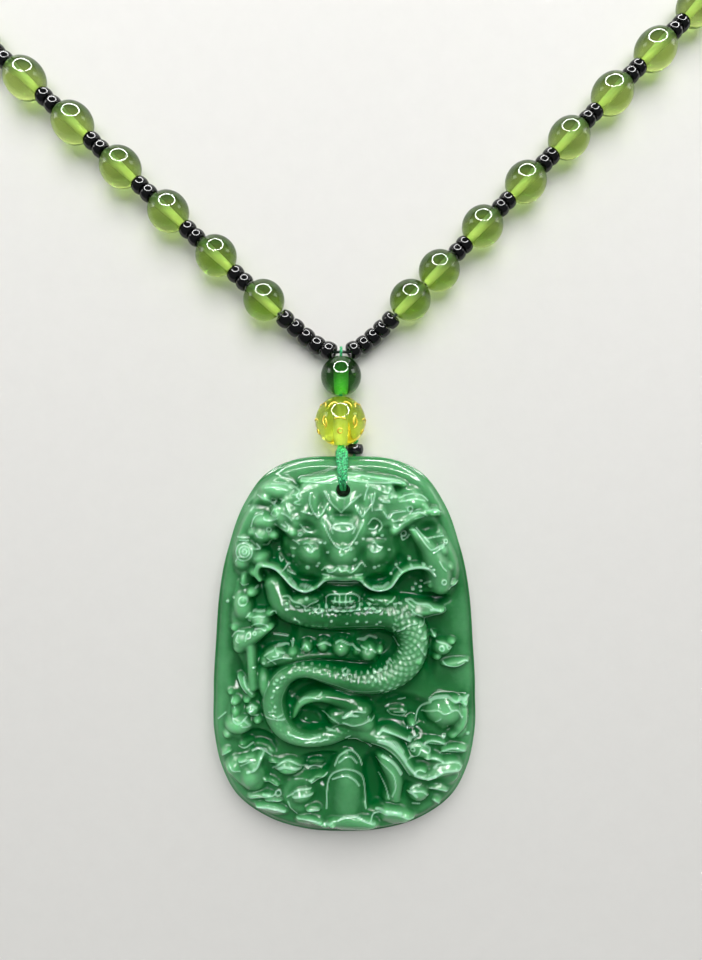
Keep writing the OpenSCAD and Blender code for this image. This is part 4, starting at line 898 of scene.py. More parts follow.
def hermite(rows, steps):
    """Smooth rows through the rows of a table, with this many steps between two of them."""
    table = np.array(rows, float)
    if len(table) < 3:
        share = np.linspace(0, 1, steps * (len(table) - 1) + 1)[:, None]
        return table[0] + (table[-1] - table[0]) * share
    slopes = np.zeros_like(table)
    slopes[1:-1] = (table[2:] - table[:-2]) / 2
    slopes[0] = table[1] - table[0]
    slopes[-1] = table[-1] - table[-2]
    k = np.linspace(0, 1, steps, endpoint=False)[:, None]
    spans = [
        low * (2 * k ** 3 - 3 * k ** 2 + 1) + s0 * (k ** 3 - 2 * k ** 2 + k)
        + high * (3 * k ** 2 - 2 * k ** 3) + s1 * (k ** 3 - k ** 2)
        for low, high, s0, s1 in zip(table[:-1], table[1:], slopes[:-1], slopes[1:])
    ]
    return np.vstack([*spans, table[-1:]])


def edge_distance(degrees):
    """Distance from the plaque's centre to its edge, for directions from 0 at the top to 180 below."""
    a, reach = np.array(OUTLINE, float).T
    slopes = np.zeros_like(a)
    slopes[1:-1] = (reach[2:] - reach[:-2]) / (a[2:] - a[:-2])
    row = np.clip(np.searchsorted(a, degrees, side="right") - 1, 0, len(a) - 2)
    span = a[row + 1] - a[row]
    k = (degrees - a[row]) / span
    return (reach[row] * (2 * k ** 3 - 3 * k ** 2 + 1) + slopes[row] * span * (k ** 3 - 2 * k ** 2 + k)
            + reach[row + 1] * (3 * k ** 2 - 2 * k ** 3) + slopes[row + 1] * span * (k ** 3 - k ** 2))


def lift(up):
    """How far the tipped plaque rises at this place up its length."""
    return math.sin(TIP_UP) * (up - PLAQUE_LOW)


def true_place(row, crest):
    """A place read from above, moved to where it is at its own height."""
    near = (EYE_HEIGHT - crest - lift(row[1])) / MEASURED_DROP
    return (EYE_OVER[0] + (row[0] - EYE_OVER[0]) * near, EYE_OVER[1] + (row[1] - EYE_OVER[1]) * near)


def soft(share):
    """A smooth step from 0 to 1."""
    k = np.clip(share, 0, 1)
    return k * k * (3 - 2 * k)


class Relief:
    """Heights of the carved face over its places, raised and cut form by form."""

    def __init__(self, x, y, settings):
        self.x = x
        self.y = y
        self.recess = settings.recess
        self.height = np.full_like(x, settings.ground)

    def near(self, points, reach):
        """Indices of the places within reach of a row of points."""
        low = points.min(axis=0) - reach
        high = points.max(axis=0) + reach
        return np.nonzero((self.x > low[0]) & (self.x < high[0]) & (self.y > low[1]) & (self.y < high[1]))[0]

    def join(self, found, height, blend):
        """The smooth maximum of what is there and a new height."""
        old = self.height[found]
        h = np.clip(0.5 + (height - old) / (2 * blend), 0, 1)
        self.height[found] = old + (height - old) * h + blend * h * (1 - h)

    def along(self, rows):
        """For the places near a strand: index, share of the half width, crest, distance along and side."""
        moved = [(*true_place(r, r[3]), r[2], r[3]) for r in rows]
        line = hermite(moved, STRAND_STEPS)
        found = self.near(line[:, :2], line[:, 2].max() + 0.2)
        x, y = self.x[found], self.y[found]
        best = np.full(len(found), FAR)
        crest = np.zeros(len(found))
        travel = np.zeros(len(found))
        side = np.zeros(len(found))
        before = 0.0
        for low, high in zip(line[:-1], line[1:]):
            run = high[:2] - low[:2]
            length = float(np.hypot(*run))
            way = run / length
            k = np.clip(((x - low[0]) * way[0] + (y - low[1]) * way[1]) / length, 0, 1)
            dx = x - low[0] - run[0] * k
            dy = y - low[1] - run[1] * k
            width = low[2] + (high[2] - low[2]) * k
            away = np.hypot(dx, dy) / width
            closer = away < best
            best[closer] = away[closer]
            crest[closer] = (low[3] + (high[3] - low[3]) * k)[closer]
            travel[closer] = (before + length * k)[closer]
            side[closer] = ((way[0] * dy - way[1] * dx) / width)[closer]
            before += length
        inside = best < 1
        return found[inside], best[inside], crest[inside], travel[inside], side[inside]

    def strand(self, rows, blend):
        """Raises a rounded strand."""
        found, away, crest, _, _ = self.along(rows)
        rise = (1 - away ** STRAND_POWER) ** ROUND_POWER
        self.join(found, self.recess + (crest - self.recess) * rise, blend)

    def ribbon(self, rows):
        """Raises a flat strand with a rim along each side."""
        found, away, crest, _, _ = self.along(rows)
        rim = RIBBON_RIM * np.exp(-((away - RIM_AT) / RIM_SPREAD) ** 2)
        top = crest - RIBBON_DROP
        rise = np.sqrt(soft((1 - away) / RIBBON_EDGE))
        self.join(found, self.recess + (top - self.recess) * rise + rim, RIBBON_BLEND)

    def level(self, rows):
        """Raises a soft level along a strand."""
        found, away, crest, _, _ = self.along(rows)
        rise = soft((1 - away) / LEVEL_EDGE)
        self.join(found, self.recess + (crest - self.recess) * rise, LEVEL_BLEND)

    def scales(self, rows, first, last, low, high, rise):
        """Raises a lattice of scales on a strand, between two distances along it and two sides."""
        found, _, _, travel, side = self.along(rows)
        across = side * SCALED_HALF_WIDTH
        lattice = np.abs(np.sin(math.pi * (travel + across) / SCALE_SIZE)
                         * np.sin(math.pi * (travel - across) / SCALE_SIZE))
        share = (soft(travel - first) * soft(last - travel) * soft((side - low) / SCALE_EDGE)
                 * soft((high - side) / SCALE_EDGE))
        self.height[found] += rise * share * (lattice ** SCALE_POWER - 0.5)

    def belts(self, rows, first, last, sides, rise):
        """Raises thin bands that run along a strand at some shares of its half width."""
        found, _, _, travel, side = self.along(rows)
        share = soft(travel - first) * soft(last - travel)
        for at in sides:
            self.height[found] += rise * share * np.exp(-((side - at) / BELT_SPREAD) ** 2)

    def shares(self, row, crest):
        """Shares of a form's half length and half height, for every place."""
        at = true_place(row, crest)
        turn = math.radians(row[4])
        dx, dy = self.x - at[0], self.y - at[1]
        return ((dx * math.cos(turn) + dy * math.sin(turn)) / row[2],
                (dy * math.cos(turn) - dx * math.sin(turn)) / row[3])

    def share(self, row, crest):
        """Squared share of the way from a form's middle to its outline, for every place."""
        length, width = self.shares(row, crest)
        return length ** 2 + width ** 2

    def mound(self, row, blend):
        """Raises a rounded mound."""
        share = self.share(row, row[5])
        found = np.nonzero(share < 1)[0]
        rise = (1 - share[found]) ** ROUND_POWER
        self.join(found, self.recess + (row[5] - self.recess) * rise, blend)

    def wave(self, row):
        """Raises a scallop that is steep above and runs out below."""
        length, width = self.shares(row, row[5])
        share = length ** 2 + width ** 2
        found = np.nonzero(share < 1)[0]
        rise = soft((1 - share[found]) / WAVE_EDGE) * soft((width[found] + WAVE_START) / WAVE_LENGTH)
        self.height[found] += (row[5] - USUAL_GROUND) * rise

    def pocket(self, row):
        """Cuts a pocket down to the recess."""
        share = self.share(row, self.recess)
        self.height -= (self.height - self.recess) * soft(POCKET_STEEPNESS * (1 - share))

    def press(self, row, way):
        """Swells what is there softly, or presses a shallow hollow into it."""
        share = np.clip(self.share(row, self.crest_at(row)), 0, 1)
        self.height += way * row[5] * (1 - share) ** 2

    def crest_at(self, place):
        """The height of the face at a place that was read from above."""
        at = true_place(place, USUAL_CREST)
        return float(self.height[np.argmin((self.x - at[0]) ** 2 + (self.y - at[1]) ** 2)])

    def line(self, points, half_width, rise):
        """Raises a fine line."""
        crest = self.crest_at(points[len(points) // 2])
        line = hermite([true_place(p, crest) for p in points], LINE_STEPS)
        found = self.near(line, half_width)
        x, y = self.x[found], self.y[found]
        best = np.full(len(found), FAR)
        for low, high in zip(line[:-1], line[1:]):
            run = high - low
            k = np.clip(((x - low[0]) * run[0] + (y - low[1]) * run[1]) / (run @ run), 0, 1)
            best = np.minimum(best, np.hypot(x - low[0] - run[0] * k, y - low[1] - run[1] * k))
        share = np.clip(best / half_width, 0, 1)
        self.height[found] += rise * (1 - share * share) ** 2


def circle(right, up, across, tall=None):
    """Points round a circle or an oval."""
    tall = across if tall is None else tall
    turns = [2 * math.pi * k / RING_POINTS for k in range(RING_POINTS + 1)]
    return [(right + across * math.cos(a), up + tall * math.sin(a)) for a in turns]


def carve_forms(relief, settings):
    """Raises and cuts the large forms."""
    for rows in LEVELS:
        relief.level(rows)
    for row in POCKETS:
        relief.pocket(row)
    for row in DIPS:
        relief.press(row, -1)
    for row in WAVES:
        relief.wave(row)
    for row in LOBES:
        relief.mound(row, LOBE_BLEND)
    for row in [*CLOUDS_LEFT, *CLOUDS_RIGHT]:
        relief.mound(row, settings.blend)
    for rows in (BODY, FORELEG, HIND_LEG, THIGH):
        relief.strand(rows, BODY_BLEND)
    for rows in SOFT_STRANDS:
        relief.strand(rows, settings.blend)
    for row in HEAD:
        relief.mound(row, settings.blend)
    for row in KNUCKLES:
        relief.mound(row, KNUCKLE_BLEND)
    for row in SWELLINGS:
        relief.press(row, 1)
    for row in HOLLOWS:
        relief.press(row, -1)
    for row in LOOPS:
        relief.press(row, 1)
    for rows in (NOSE, WHISKER_LEFT, WHISKER_RIGHT):
        relief.ribbon(rows)


def carve_lines(relief, settings):
    """Raises the scales, the bands of the belly and the fine lines."""
    for first, last, low, high, share in SCALE_FIELDS:
        relief.scales(BODY, first, last, low, high, settings.scale_rise * share)
    for first, last, sides, rise in BELTS:
        relief.belts(BODY, first, last, sides, rise)
    for points in FINE_LINES:
        relief.line(points, settings.line_half, settings.line_rise)
    for points in BOLD_LINES:
        relief.line(points, settings.line_half * BOLD_WIDTH, settings.line_rise * BOLD_RISE)
    for right, up, radius in RINGS:
        relief.line(circle(right, up, radius), settings.line_half, settings.line_rise)
    relief.line(circle(*BOSS), settings.line_half, settings.line_rise * BOLD_RISE)
    for right, up, radius in DOTS:
        ends = [(right - DOT_HALF, up), (right + DOT_HALF, up)]
        relief.line(ends, radius * DOT_WIDTH, settings.line_rise * DOT_RISE)


def joined_object(name, mesh, *materials):
    """An object of this mesh that rides on the part's body."""
    for face in mesh.polygons:
        face.use_smooth = True
    for material in materials:
        mesh.materials.append(material)
    made = bpy.data.objects.new(name, mesh)
    bpy.context.scene.collection.objects.link(made)
    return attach(made, BODY_NAME)


def to_mesh(bm, name):
    """A mesh made from a bmesh, which is freed."""
    mesh = bpy.data.meshes.new(name)
    bm.to_mesh(mesh)
    bm.free()
    return mesh


def smoothed(field, times):
    """A grid of heights, each averaged with its neighbours this many times."""
    for _ in range(times):
        wide = np.pad(field, 1, mode="edge")
        field = (wide[1:-1, :-2] + wide[1:-1, 2:] + wide[:-2, 1:-1] + wide[2:, 1:-1] + 4 * field) / 8
    return field


def face_places(u, v, inset):
    """Points of the square from -1 to 1 taken to the plaque's outline, and their distances from the edge."""
    dx = u * np.sqrt(1 - v * v / 2)
    dy = v * np.sqrt(1 - u * u / 2)
    reach = edge_distance(np.degrees(np.abs(np.arctan2(dx, dy))))
    radius = np.hypot(dx, dy)
    return dx * (reach - inset), dy * (reach - inset), inset + (1 - radius) * (reach - inset)


def plaque_world(points):
    """Points of the plaque's own frame, tipped up and moved to the part's frame, in metres."""
    x, y, z = points.T
    up = y - PLAQUE_LOW
    tipped = np.column_stack([
        x,
        PLAQUE_LOW + up * math.cos(TIP_UP) - z * math.sin(TIP_UP),
        up * math.sin(TIP_UP) + z * math.cos(TIP_UP),
    ])
    return (tipped - np.array(GROUND_MIDDLE)) * MM


def drawn_out(bm, edges, move):
    """Extrudes a loop of edges, puts each new vertex where a function says, and returns the new edges."""
    grown = bmesh.ops.extrude_edge_only(bm, edges=edges)["geom"]
    for vertex in grown:
        if isinstance(vertex, bmesh.types.BMVert):
            vertex.co = move(vertex.co)
    return [g for g in grown if isinstance(g, bmesh.types.BMEdge)]


def carved_heights(x, y, from_edge, cells, settings):
    """Heights of the carved face, their excess over their surroundings, and what the fine lines add.

    The cells are the rows and columns of a grid in which the places stand.
    """
    field = np.zeros((settings.along + 1, settings.across + 1))
    relief = Relief(x, y, settings)
    carve_forms(relief, settings)
    field[cells] = relief.height
    relief.height = smoothed(field, settings.softening)[cells]
    before_lines = relief.height.copy()
    carve_lines(relief, settings)
    fine = relief.height - before_lines
    rim = np.clip((from_edge - settings.edge_round) / RIM_WIDTH, 0, 1)
    ground_edge = settings.ground - settings.edge_drop * (1 - rim) ** 2
    fade = soft((from_edge - settings.edge_round) / FADE_WIDTH)
    height = ground_edge + (relief.height - settings.ground) * fade
    field[cells] = height
    cavity = (field - 0.5 * smoothed(field, NEAR_TIMES) - 0.5 * smoothed(field, WIDE_TIMES))[cells]
    return height, cavity, fine


def painted_paleness(x, y):
    """Distance of each place from the darkest one of the painted shade, as a share of that over which it
    gives way to painted light.
    """
    rise = y - DARK_AT[1]
    reach = np.where(rise > 0, DARK_UP, DARK_DOWN)
    return np.minimum(PALEST, np.hypot((x - DARK_AT[0]) / DARK_SIDEWAYS, rise / reach))


def drilled_edges(bm, outer, hole, radius):
    """Cuts a round hole into the face and returns the edges round it."""
    drilled = [f for f in bm.faces if math.dist(f.calc_center_median()[:2], HOLE_AT) < radius]
    bmesh.ops.delete(bm, geom=drilled, context="FACES")
    outside = set(outer)
    inner = [e for e in bm.edges if e.is_boundary and e not in outside]
    for vertex in {v for e in inner for v in e.verts}:
        out = Vector((vertex.co.x, vertex.co.y, 0)) - hole
        out *= radius / out.length
        vertex.co = (hole.x + out.x, hole.y + out.y, vertex.co.z)
    return inner


def close_back(bm, outer, inner, hole, settings):
    """Adds the rounded edge, the wall, the sloped back edge, the hole's wall and the back."""
    def from_middle(co, grow, z):
        share = 1 + grow / math.hypot(co.x, co.y)
        return Vector((co.x * share, co.y * share, z))

    def from_hole(co, grow, z):
        out = Vector((co.x, co.y, 0)) - hole
        out *= 1 + grow / out.length
        return Vector((hole.x + out.x, hole.y + out.y, z))

    edge_z = settings.ground - settings.edge_drop
    turned = 0.0
    for degrees in EDGE_TURNS:
        turn = math.sin(math.radians(degrees)) * settings.edge_round
        z = edge_z - settings.edge_round * (1 - math.cos(math.radians(degrees)))
        outer = drawn_out(bm, outer, lambda co, grow=turn - turned, z=z: from_middle(co, grow, z))
        turned = turn
    # Rings of the sloped back edge: height above the back and growth from the ring before.
    slope = settings.back_slope
    back_rings = ((slope + 0.3, 0), (slope * 0.75, -0.12), (slope * 0.25, -0.45), (0.0, 0.37 - slope))
    for z, grow in back_rings:
        outer = drawn_out(bm, outer, lambda co, grow=grow, z=z: from_middle(co, grow, z))
    for z, grow in HOLE_RINGS:
        inner = drawn_out(bm, inner, lambda co, grow=grow, z=z: from_hole(co, grow, z))
    bmesh.ops.bridge_loops(bm, edges=outer + inner)
    bmesh.ops.recalc_face_normals(bm, faces=bm.faces)


def carved_plaque(settings):
    """The carved plaque as a closed mesh. Its vertices hold the values that paint light and shade into the
    stone's colour.
    """
    bm = bmesh.new()
    bmesh.ops.create_grid(bm, x_segments=settings.across, y_segments=settings.along, size=1.0)
    bm.verts.ensure_lookup_table()
    square = np.array([v.co[:2] for v in bm.verts])
    square /= np.abs(square).max(axis=0)
    x, y, from_edge = face_places(square[:, 0], square[:, 1], settings.edge_round)
    column = np.rint((square[:, 0] + 1) / 2 * settings.across).astype(int)
    row = np.rint((square[:, 1] + 1) / 2 * settings.along).astype(int)
    height, cavity, fine = carved_heights(x, y, from_edge, (row, column), settings)
    for vertex, px, py, pz in zip(bm.verts, x, y, height):
        vertex.co = (px, py, pz)
    # The heights, the recesses and the distance from the darkest middle paint light and shade into the
    # stone's colour, and the fine lines paint a highlight on the ridges.
    layers = [bm.verts.layers.float.new(name) for name in ("height", "cavity", "outward", "fine")]
    for vertex, *values in zip(bm.verts, (height - HEIGHT_LOW) / HEIGHT_RANGE, 0.5 + cavity / CAVITY_RANGE,
                               painted_paleness(x, y), 0.5 + fine * FINE_GAIN):
        for layer, value in zip(layers, values):
            vertex[layer] = value
    outer = [e for e in bm.edges if e.is_boundary]
    hole = Vector((*HOLE_AT, 0))
    inner = drilled_edges(bm, outer, hole, settings.hole)
    close_back(bm, outer, inner, hole, settings)
    return to_mesh(bm, "pendant_stone")


class NECKLACE_OT_pendant(bpy.types.Operator):
    """Carves the stone plaque"""
    bl_idname = "necklace.pendant"
    bl_label = "Pendant"

    def execute(self, context):
        settings = context.scene.necklace_pendant
        mesh = carved_plaque(settings)
        places = np.empty(len(mesh.vertices) * 3)
        mesh.vertices.foreach_get("co", places)
        mesh.vertices.foreach_set("co", plaque_world(places.reshape(-1, 3)).ravel())
        mesh.update()
        made = joined_object("carved_pendant", mesh, jade_material(settings))
        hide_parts("pendant")
        return {"FINISHED"}


def solids_of(node, radius):
    """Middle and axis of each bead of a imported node, whose beads have this radius."""
    bm = bmesh.new()
    bm.from_mesh(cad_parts[node].data)
    bmesh.ops.remove_doubles(bm, verts=bm.verts, dist=1e-6)
    found = []
    seen = set()
    for first in bm.verts:
        if first in seen:
            continue
        seen.add(first)
        island = [first]
        # The list grows while it is read, until the whole bead is in it.
        for vertex in island:
            for link in vertex.link_edges:
                other = link.other_vert(vertex)
                if other not in seen:
                    seen.add(other)
                    island.append(other)
        co = np.array([v.co for v in island])
        middle = (co.min(axis=0) + co.max(axis=0)) / 2
        wall = {}
        for vertex in island:
            for face in vertex.link_faces:
                # Only faces of the bore have their middle this close to the bead's.
                if (face.calc_center_median() - Vector(middle)).length < radius / 2:
                    wall.update(dict.fromkeys(face.verts))
        bore = np.array([v.co for v in wall])
        middle = (bore.min(axis=0) + bore.max(axis=0)) / 2
        spread, ways = np.linalg.eigh(np.cov((bore - middle).T))
        axis = ways[:, np.argmax(spread)]
        axis = axis * np.sign(axis[np.argmax(np.abs(axis))])
        found.append((Vector(middle), Vector(axis)))
    bm.free()
    return found


# A bead's round outside begins at this many bore radii from its axis, and its mouth is eased by this length.
MOUTH_REACH = 1.35
MOUTH_EASE = 0.1
# Faces whose corners are all within this many bore radii of the axis have the bore's material.
WALL_REACH = 1.05


def bead_mesh(radius, half_length, hole, sides, rings):
    """A round bead with rounded mouths, drilled along X, in millimetres."""
    bm = bmesh.new()
    end = math.acos(min(1, hole * MOUTH_REACH / radius))
    profile = []
    for k in range(rings + 1):
        a = -end + 2 * end * k / rings
        profile.append((radius * math.sin(a), radius * math.cos(a)))
    profile = [(max(-half_length, min(half_length, px)), pr) for px, pr in profile]
    profile += [(half_length - MOUTH_EASE, hole), (0, hole), (MOUTH_EASE - half_length, hole)]
    row = [bm.verts.new((px, pr, 0)) for px, pr in profile]
    edges = [bm.edges.new((row[k], row[(k + 1) % len(row)])) for k in range(len(row))]
    bmesh.ops.spin(bm, geom=row + edges, cent=(0, 0, 0), axis=(1, 0, 0), angle=2 * math.pi, steps=sides,
                   use_merge=True)
    bmesh.ops.remove_doubles(bm, verts=bm.verts, dist=1e-5)
    bmesh.ops.recalc_face_normals(bm, faces=bm.faces)
    for face in bm.faces:
        if all(math.hypot(v.co.y, v.co.z) < hole * WALL_REACH for v in face.verts):
            face.material_index = 1
    return bm


# Each copy of a bead is turned on its axis by this much more than the one before, in radians.
BEAD_TURN = 2.4
# The first black beads of each half of the strand are longer than their solids.
FIRST_BLACKS = 5
FIRST_STRETCH = 1.12


def strung(name, template, places, stretched=0):
    """Copies of a bead, laid with their bores along the axes of the places, joined as one mesh.

    So many of the first copies are stretched. A float called low is greatest at a bead's front edge; it
    paints light there and shade toward the back of the glass.
    """
    bm = bmesh.new()
    pattern = bpy.data.meshes.new("bead")
    template.to_mesh(pattern)
    template.free()
    low = bm.verts.layers.float.new("low")
    for turn, (middle, axis) in enumerate(places):
        start = len(bm.verts)
        bm.from_mesh(pattern)
        bm.verts.ensure_lookup_table()
        copy = bm.verts[start:]
        spin = Matrix.Rotation(turn * BEAD_TURN, 4, "X")
        if turn < stretched:
            spin = spin @ Matrix.Diagonal((FIRST_STRETCH, 1, 1, 1))
        aim = axis.to_track_quat("X", "Z").to_matrix().to_4x4()
        matrix = Matrix.Translation(middle) @ aim @ spin @ Matrix.Scale(MM, 4)
        bmesh.ops.transform(bm, matrix=matrix, verts=copy)
        reach = max((v.co - middle).length for v in copy)
        for vertex in copy:
            out = (vertex.co - middle) / reach
            # This float paints light at the front edge of the glass and shade toward its back.
            vertex[low] = 0.5 - out.y * min(1, max(0, 0.5 + out.z))
    bpy.data.meshes.remove(pattern)
    return to_mesh(bm, name)


GREEN_RINGS = 22
BLACK_RINGS = 10
DROP_SIDES = 48
DROP_RINGS = 28


class NECKLACE_OT_strand(bpy.types.Operator):
    """Makes the green and black beads of both halves"""
    bl_idname = "necklace.strand"
    bl_label = "Strand"

    def execute(self, context):
        settings = context.scene.necklace_beads
        glass = glass_material(
            "green_glass", settings.green, settings.green_low, clear_share=0.25, streak=0.12)
        bore = bore_material("ground_bore", settings.bore)
        black = black_glass_material(settings)
        for side in ("left", "right"):
            places = solids_of("green_beads_" + side, GREEN_R * MM)
            half = math.sqrt(GREEN_R ** 2 - BORE_R ** 2)
            bead = bead_mesh(GREEN_R, half, BORE_R, settings.sides, GREEN_RINGS)
            made = joined_object("glass_beads_" + side, strung("green_beads", bead, places), glass, bore)
            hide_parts("green_beads_" + side)
            places = solids_of("black_beads_" + side, BLACK_R * MM)
            meeting = middle_of("top_bead")
            places.sort(key=lambda place: (place[0] - meeting).length)
            bead = bead_mesh(BLACK_R, BLACK_HALVES[side], BORE_R, settings.small_sides, BLACK_RINGS)
            mesh = strung("black_beads", bead, places, FIRST_BLACKS)
            made = joined_object("spacer_beads_" + side, mesh, black, black)
            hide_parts("black_beads_" + side)
        return {"FINISHED"}


def middle_of(node):
    """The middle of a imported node's box."""
    low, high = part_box(node)
    return (low + high) / 2


class NECKLACE_OT_drop_beads(bpy.types.Operator):
    """Makes the beads over the pendant and the small one at the end of its cord"""
    bl_idname = "necklace.drop_beads"
    bl_label = "Beads over the pendant"

    def execute(self, context):
        settings = context.scene.necklace_beads
        upright = Vector((0, 1, 0))
        black = bpy.data.materials["black_glass"]
        yellow = glass_material(
            "yellow_glass", settings.gold, settings.gold_low, clear_share=0.3, streak=0.2)
        yellow_bore = bore_material("yellow_bore", settings.gold_bore)
        dark = glass_material(
            "dark_green_glass", settings.top, settings.top_low, clear_share=0.2, streak=0.05)
        vivid_bore = bore_material("vivid_bore", settings.top_bore)
        gold_size = (GOLD_R, GOLD_HALF, WIDE_BORE_R)
        top_size = (TOP_R, TOP_HALF, WIDE_BORE_R)
        stopper_size = (BLACK_R, STOPPER_HALF, BORE_R)
        for node, name, slot, size, material, bore in (
                ("gold_bead", "yellow_bead", "gold_glass", gold_size, yellow, yellow_bore),
                ("top_bead", "upper_bead", "dark_green_glass", top_size, dark, vivid_bore),
                ("stopper_bead", "end_bead", "black_glass", stopper_size, black, black)):
            bead = bead_mesh(*size, DROP_SIDES, DROP_RINGS)
            made = joined_object(name, strung(name, bead, [(middle_of(node), upright)]), material, bore)
            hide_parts(node)
        return {"FINISHED"}


def swept(name, runs, resolution):
    """Tubes along runs of points and radii, in millimetres, as one mesh in the part's frame in metres."""
    curve = bpy.data.curves.new(name, "CURVE")
    curve.dimensions = "3D"
    curve.bevel_depth = 1.0
    curve.bevel_resolution = resolution
    curve.use_fill_caps = True
    for points, radii in runs:
        spline = curve.splines.new("POLY")
        spline.points.add(len(points) - 1)
        for knot, point, radius in zip(spline.points, points, radii):
            knot.co = (*(Vector(point) * MM), 1)
            knot.radius = radius * MM
    holder = bpy.data.objects.new(name, curve)
    mesh = bpy.data.meshes.new_from_object(holder)
    bpy.data.objects.remove(holder)
    bpy.data.curves.remove(curve)
    return mesh


STRANDS_OF_CORD = (-1, 1)
PLIES = 3
CORD_STEP = 0.2
ROUTE_STEPS = 8
CORD_RESOLUTION = 2
# Distance of a strand's middle from the cord's, as a share of a strand's half width, and a ply's swelling.
STRAND_APART = 0.8
PLY_SWELL = 1.08


def cord_runs(settings):
    """The plies of the cord: two strands side by side, each of three plies twisted together."""
    rows = hermite(CORD_ROUTE, ROUTE_STEPS)
    legs = np.linalg.norm(np.diff(rows[:, :3], axis=0), axis=1)
    travel = np.concatenate([[0], np.cumsum(legs)])
    count = int(travel[-1] / CORD_STEP)
    even = np.linspace(0, travel[-1], count)
    rows = np.column_stack([np.interp(even, travel, rows[:, k]) for k in range(5)])
    along = np.gradient(rows[:, :3], axis=0)
    along /= np.linalg.norm(along, axis=1)[:, None]
    wide = np.array([1.0, 0, 0]) - along * along[:, :1]
    wide /= np.linalg.norm(wide, axis=1)[:, None]
    out = np.cross(along, wide)
    runs = []
    for strand in STRANDS_OF_CORD:
        for ply in range(PLIES):
            phase = strand * (2 * math.pi * even / settings.pitch) + 2 * math.pi * ply / PLIES
            half = rows[:, 3] / 2
            thick = rows[:, 4]
            radius = 0.5 * np.minimum(half, thick)
            reach_wide = half - radius
            reach_out = thick - radius
            aside = strand * half * STRAND_APART + reach_wide * np.cos(phase)
            points = (rows[:, :3] + wide * aside[:, None] + out * (reach_out * np.sin(phase))[:, None]
                      - np.array(GROUND_MIDDLE))
            runs.append((points, radius * PLY_SWELL))
    return runs


class NECKLACE_OT_cord(bpy.types.Operator):
    """Twists the pendant's cord"""
    bl_idname = "necklace.cord"
    bl_label = "Cord"

    def execute(self, context):
        settings = context.scene.necklace_cord
        mesh = swept("twisted_cord", cord_runs(settings), CORD_RESOLUTION)
        made = joined_object("twisted_cord", mesh, cord_material(settings))
        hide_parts("pendant_cord")
        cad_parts["thread"].data.materials.clear()
        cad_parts["thread"].data.materials.append(thread_material(settings))
        return {"FINISHED"}


# Gilt strokes of one column of the ornament: right and up round the bead in radians, size, and the turns in
# degrees where the stroke begins and ends.
GILT_STROKES = [
    (-0.3, 0.5, 0.22, 40, 180), (0.3, 0.52, 0.22, 0, 130), (-0.02, -0.36, 0.42, 55, 122),
    (0, -0.46, 0.1, 0, 350), (-0.46, -0.05, 0.26, 130, 230), (0.44, -0.12, 0.26, -60, 40),
]
GILT_COLUMNS = 5
STROKE_POINTS = 20
GILT_RESOLUTION = 1
# The strokes' middle lies at this distance from the bead's, and this is half their greatest width.
GILT_R = 4.78
STROKE_R = 0.17
TABLE_GAP = 0.01


def gilt_runs():
    """Strokes and curls of thin gilt on the yellow bead."""
    middle = middle_of("gold_bead") / MM
    runs = []

    def on_bead(around, up):
        flat = GILT_R * math.cos(up)
        point = Vector((flat * math.sin(around), GILT_R * math.sin(up), flat * math.cos(around))) + middle
        # The strokes under the bead stay above the table.
        point.z = max(point.z, STROKE_R + TABLE_GAP)
        return point

    for column in range(GILT_COLUMNS):
        around = 2 * math.pi * column / GILT_COLUMNS
        for right, up, size, start, end in GILT_STROKES:
            points = []
            for k in range(STROKE_POINTS):
                angle = math.radians(start + (end - start) * k / (STROKE_POINTS - 1))
                points.append(on_bead(around + right + size * math.cos(angle), up + size * math.sin(angle)))
            swell = [math.sin(math.pi * (k + 1.5) / (STROKE_POINTS + 2)) ** 0.5 for k in range(STROKE_POINTS)]
            runs.append((points, [STROKE_R * share for share in swell]))
    return runs


class NECKLACE_OT_gilt(bpy.types.Operator):
    """Lays the gilt ornament on the yellow bead"""
    bl_idname = "necklace.gilt"
    bl_label = "Gilt lines"

    def execute(self, context):
        mesh = swept("gilt_curls", gilt_runs(), GILT_RESOLUTION)
        made = joined_object("gilt_curls", mesh, gilt_material())
        return {"FINISHED"}


# The studio, in metres. Its lights stand round the pendant's middle.
FLOOR_HALF = 3.0
RING_LEAN = math.radians(52)
RING_DISTANCE = 0.45
RING_R = 0.29
RING_TUBE_R = 0.016
RING_SIDES = 64
TUBE_SIDES = 16
CARD_PLACE = Vector((0.5, 0.26, 0.13))
CARD_TARGET = Vector((0, 0.09, 0))
CARD_SIZE = (0.16, 0.2)
KEY_PLACE = Vector((0.1, 0.95, 1.25))
KEY_TARGET = Vector((0, 0.04, 0))
KEY_SIZE = 1.25
SKY_COLOUR = (0.93, 0.97, 1.0, 1)
NEAREST_SEEN = 0.005


def aimed(place, target, axis="Z"):
    """The matrix of an object at a place that turns this axis to a target."""
    return Matrix.Translation(place) @ (target - place).to_track_quat(axis, "Y").to_matrix().to_4x4()


def only_reflected(lamp):
    """Hides a glowing object from all rays but those that polished surfaces reflect."""
    lamp.visible_camera = False
    lamp.visible_diffuse = False
    lamp.visible_transmission = False
    lamp.visible_shadow = False


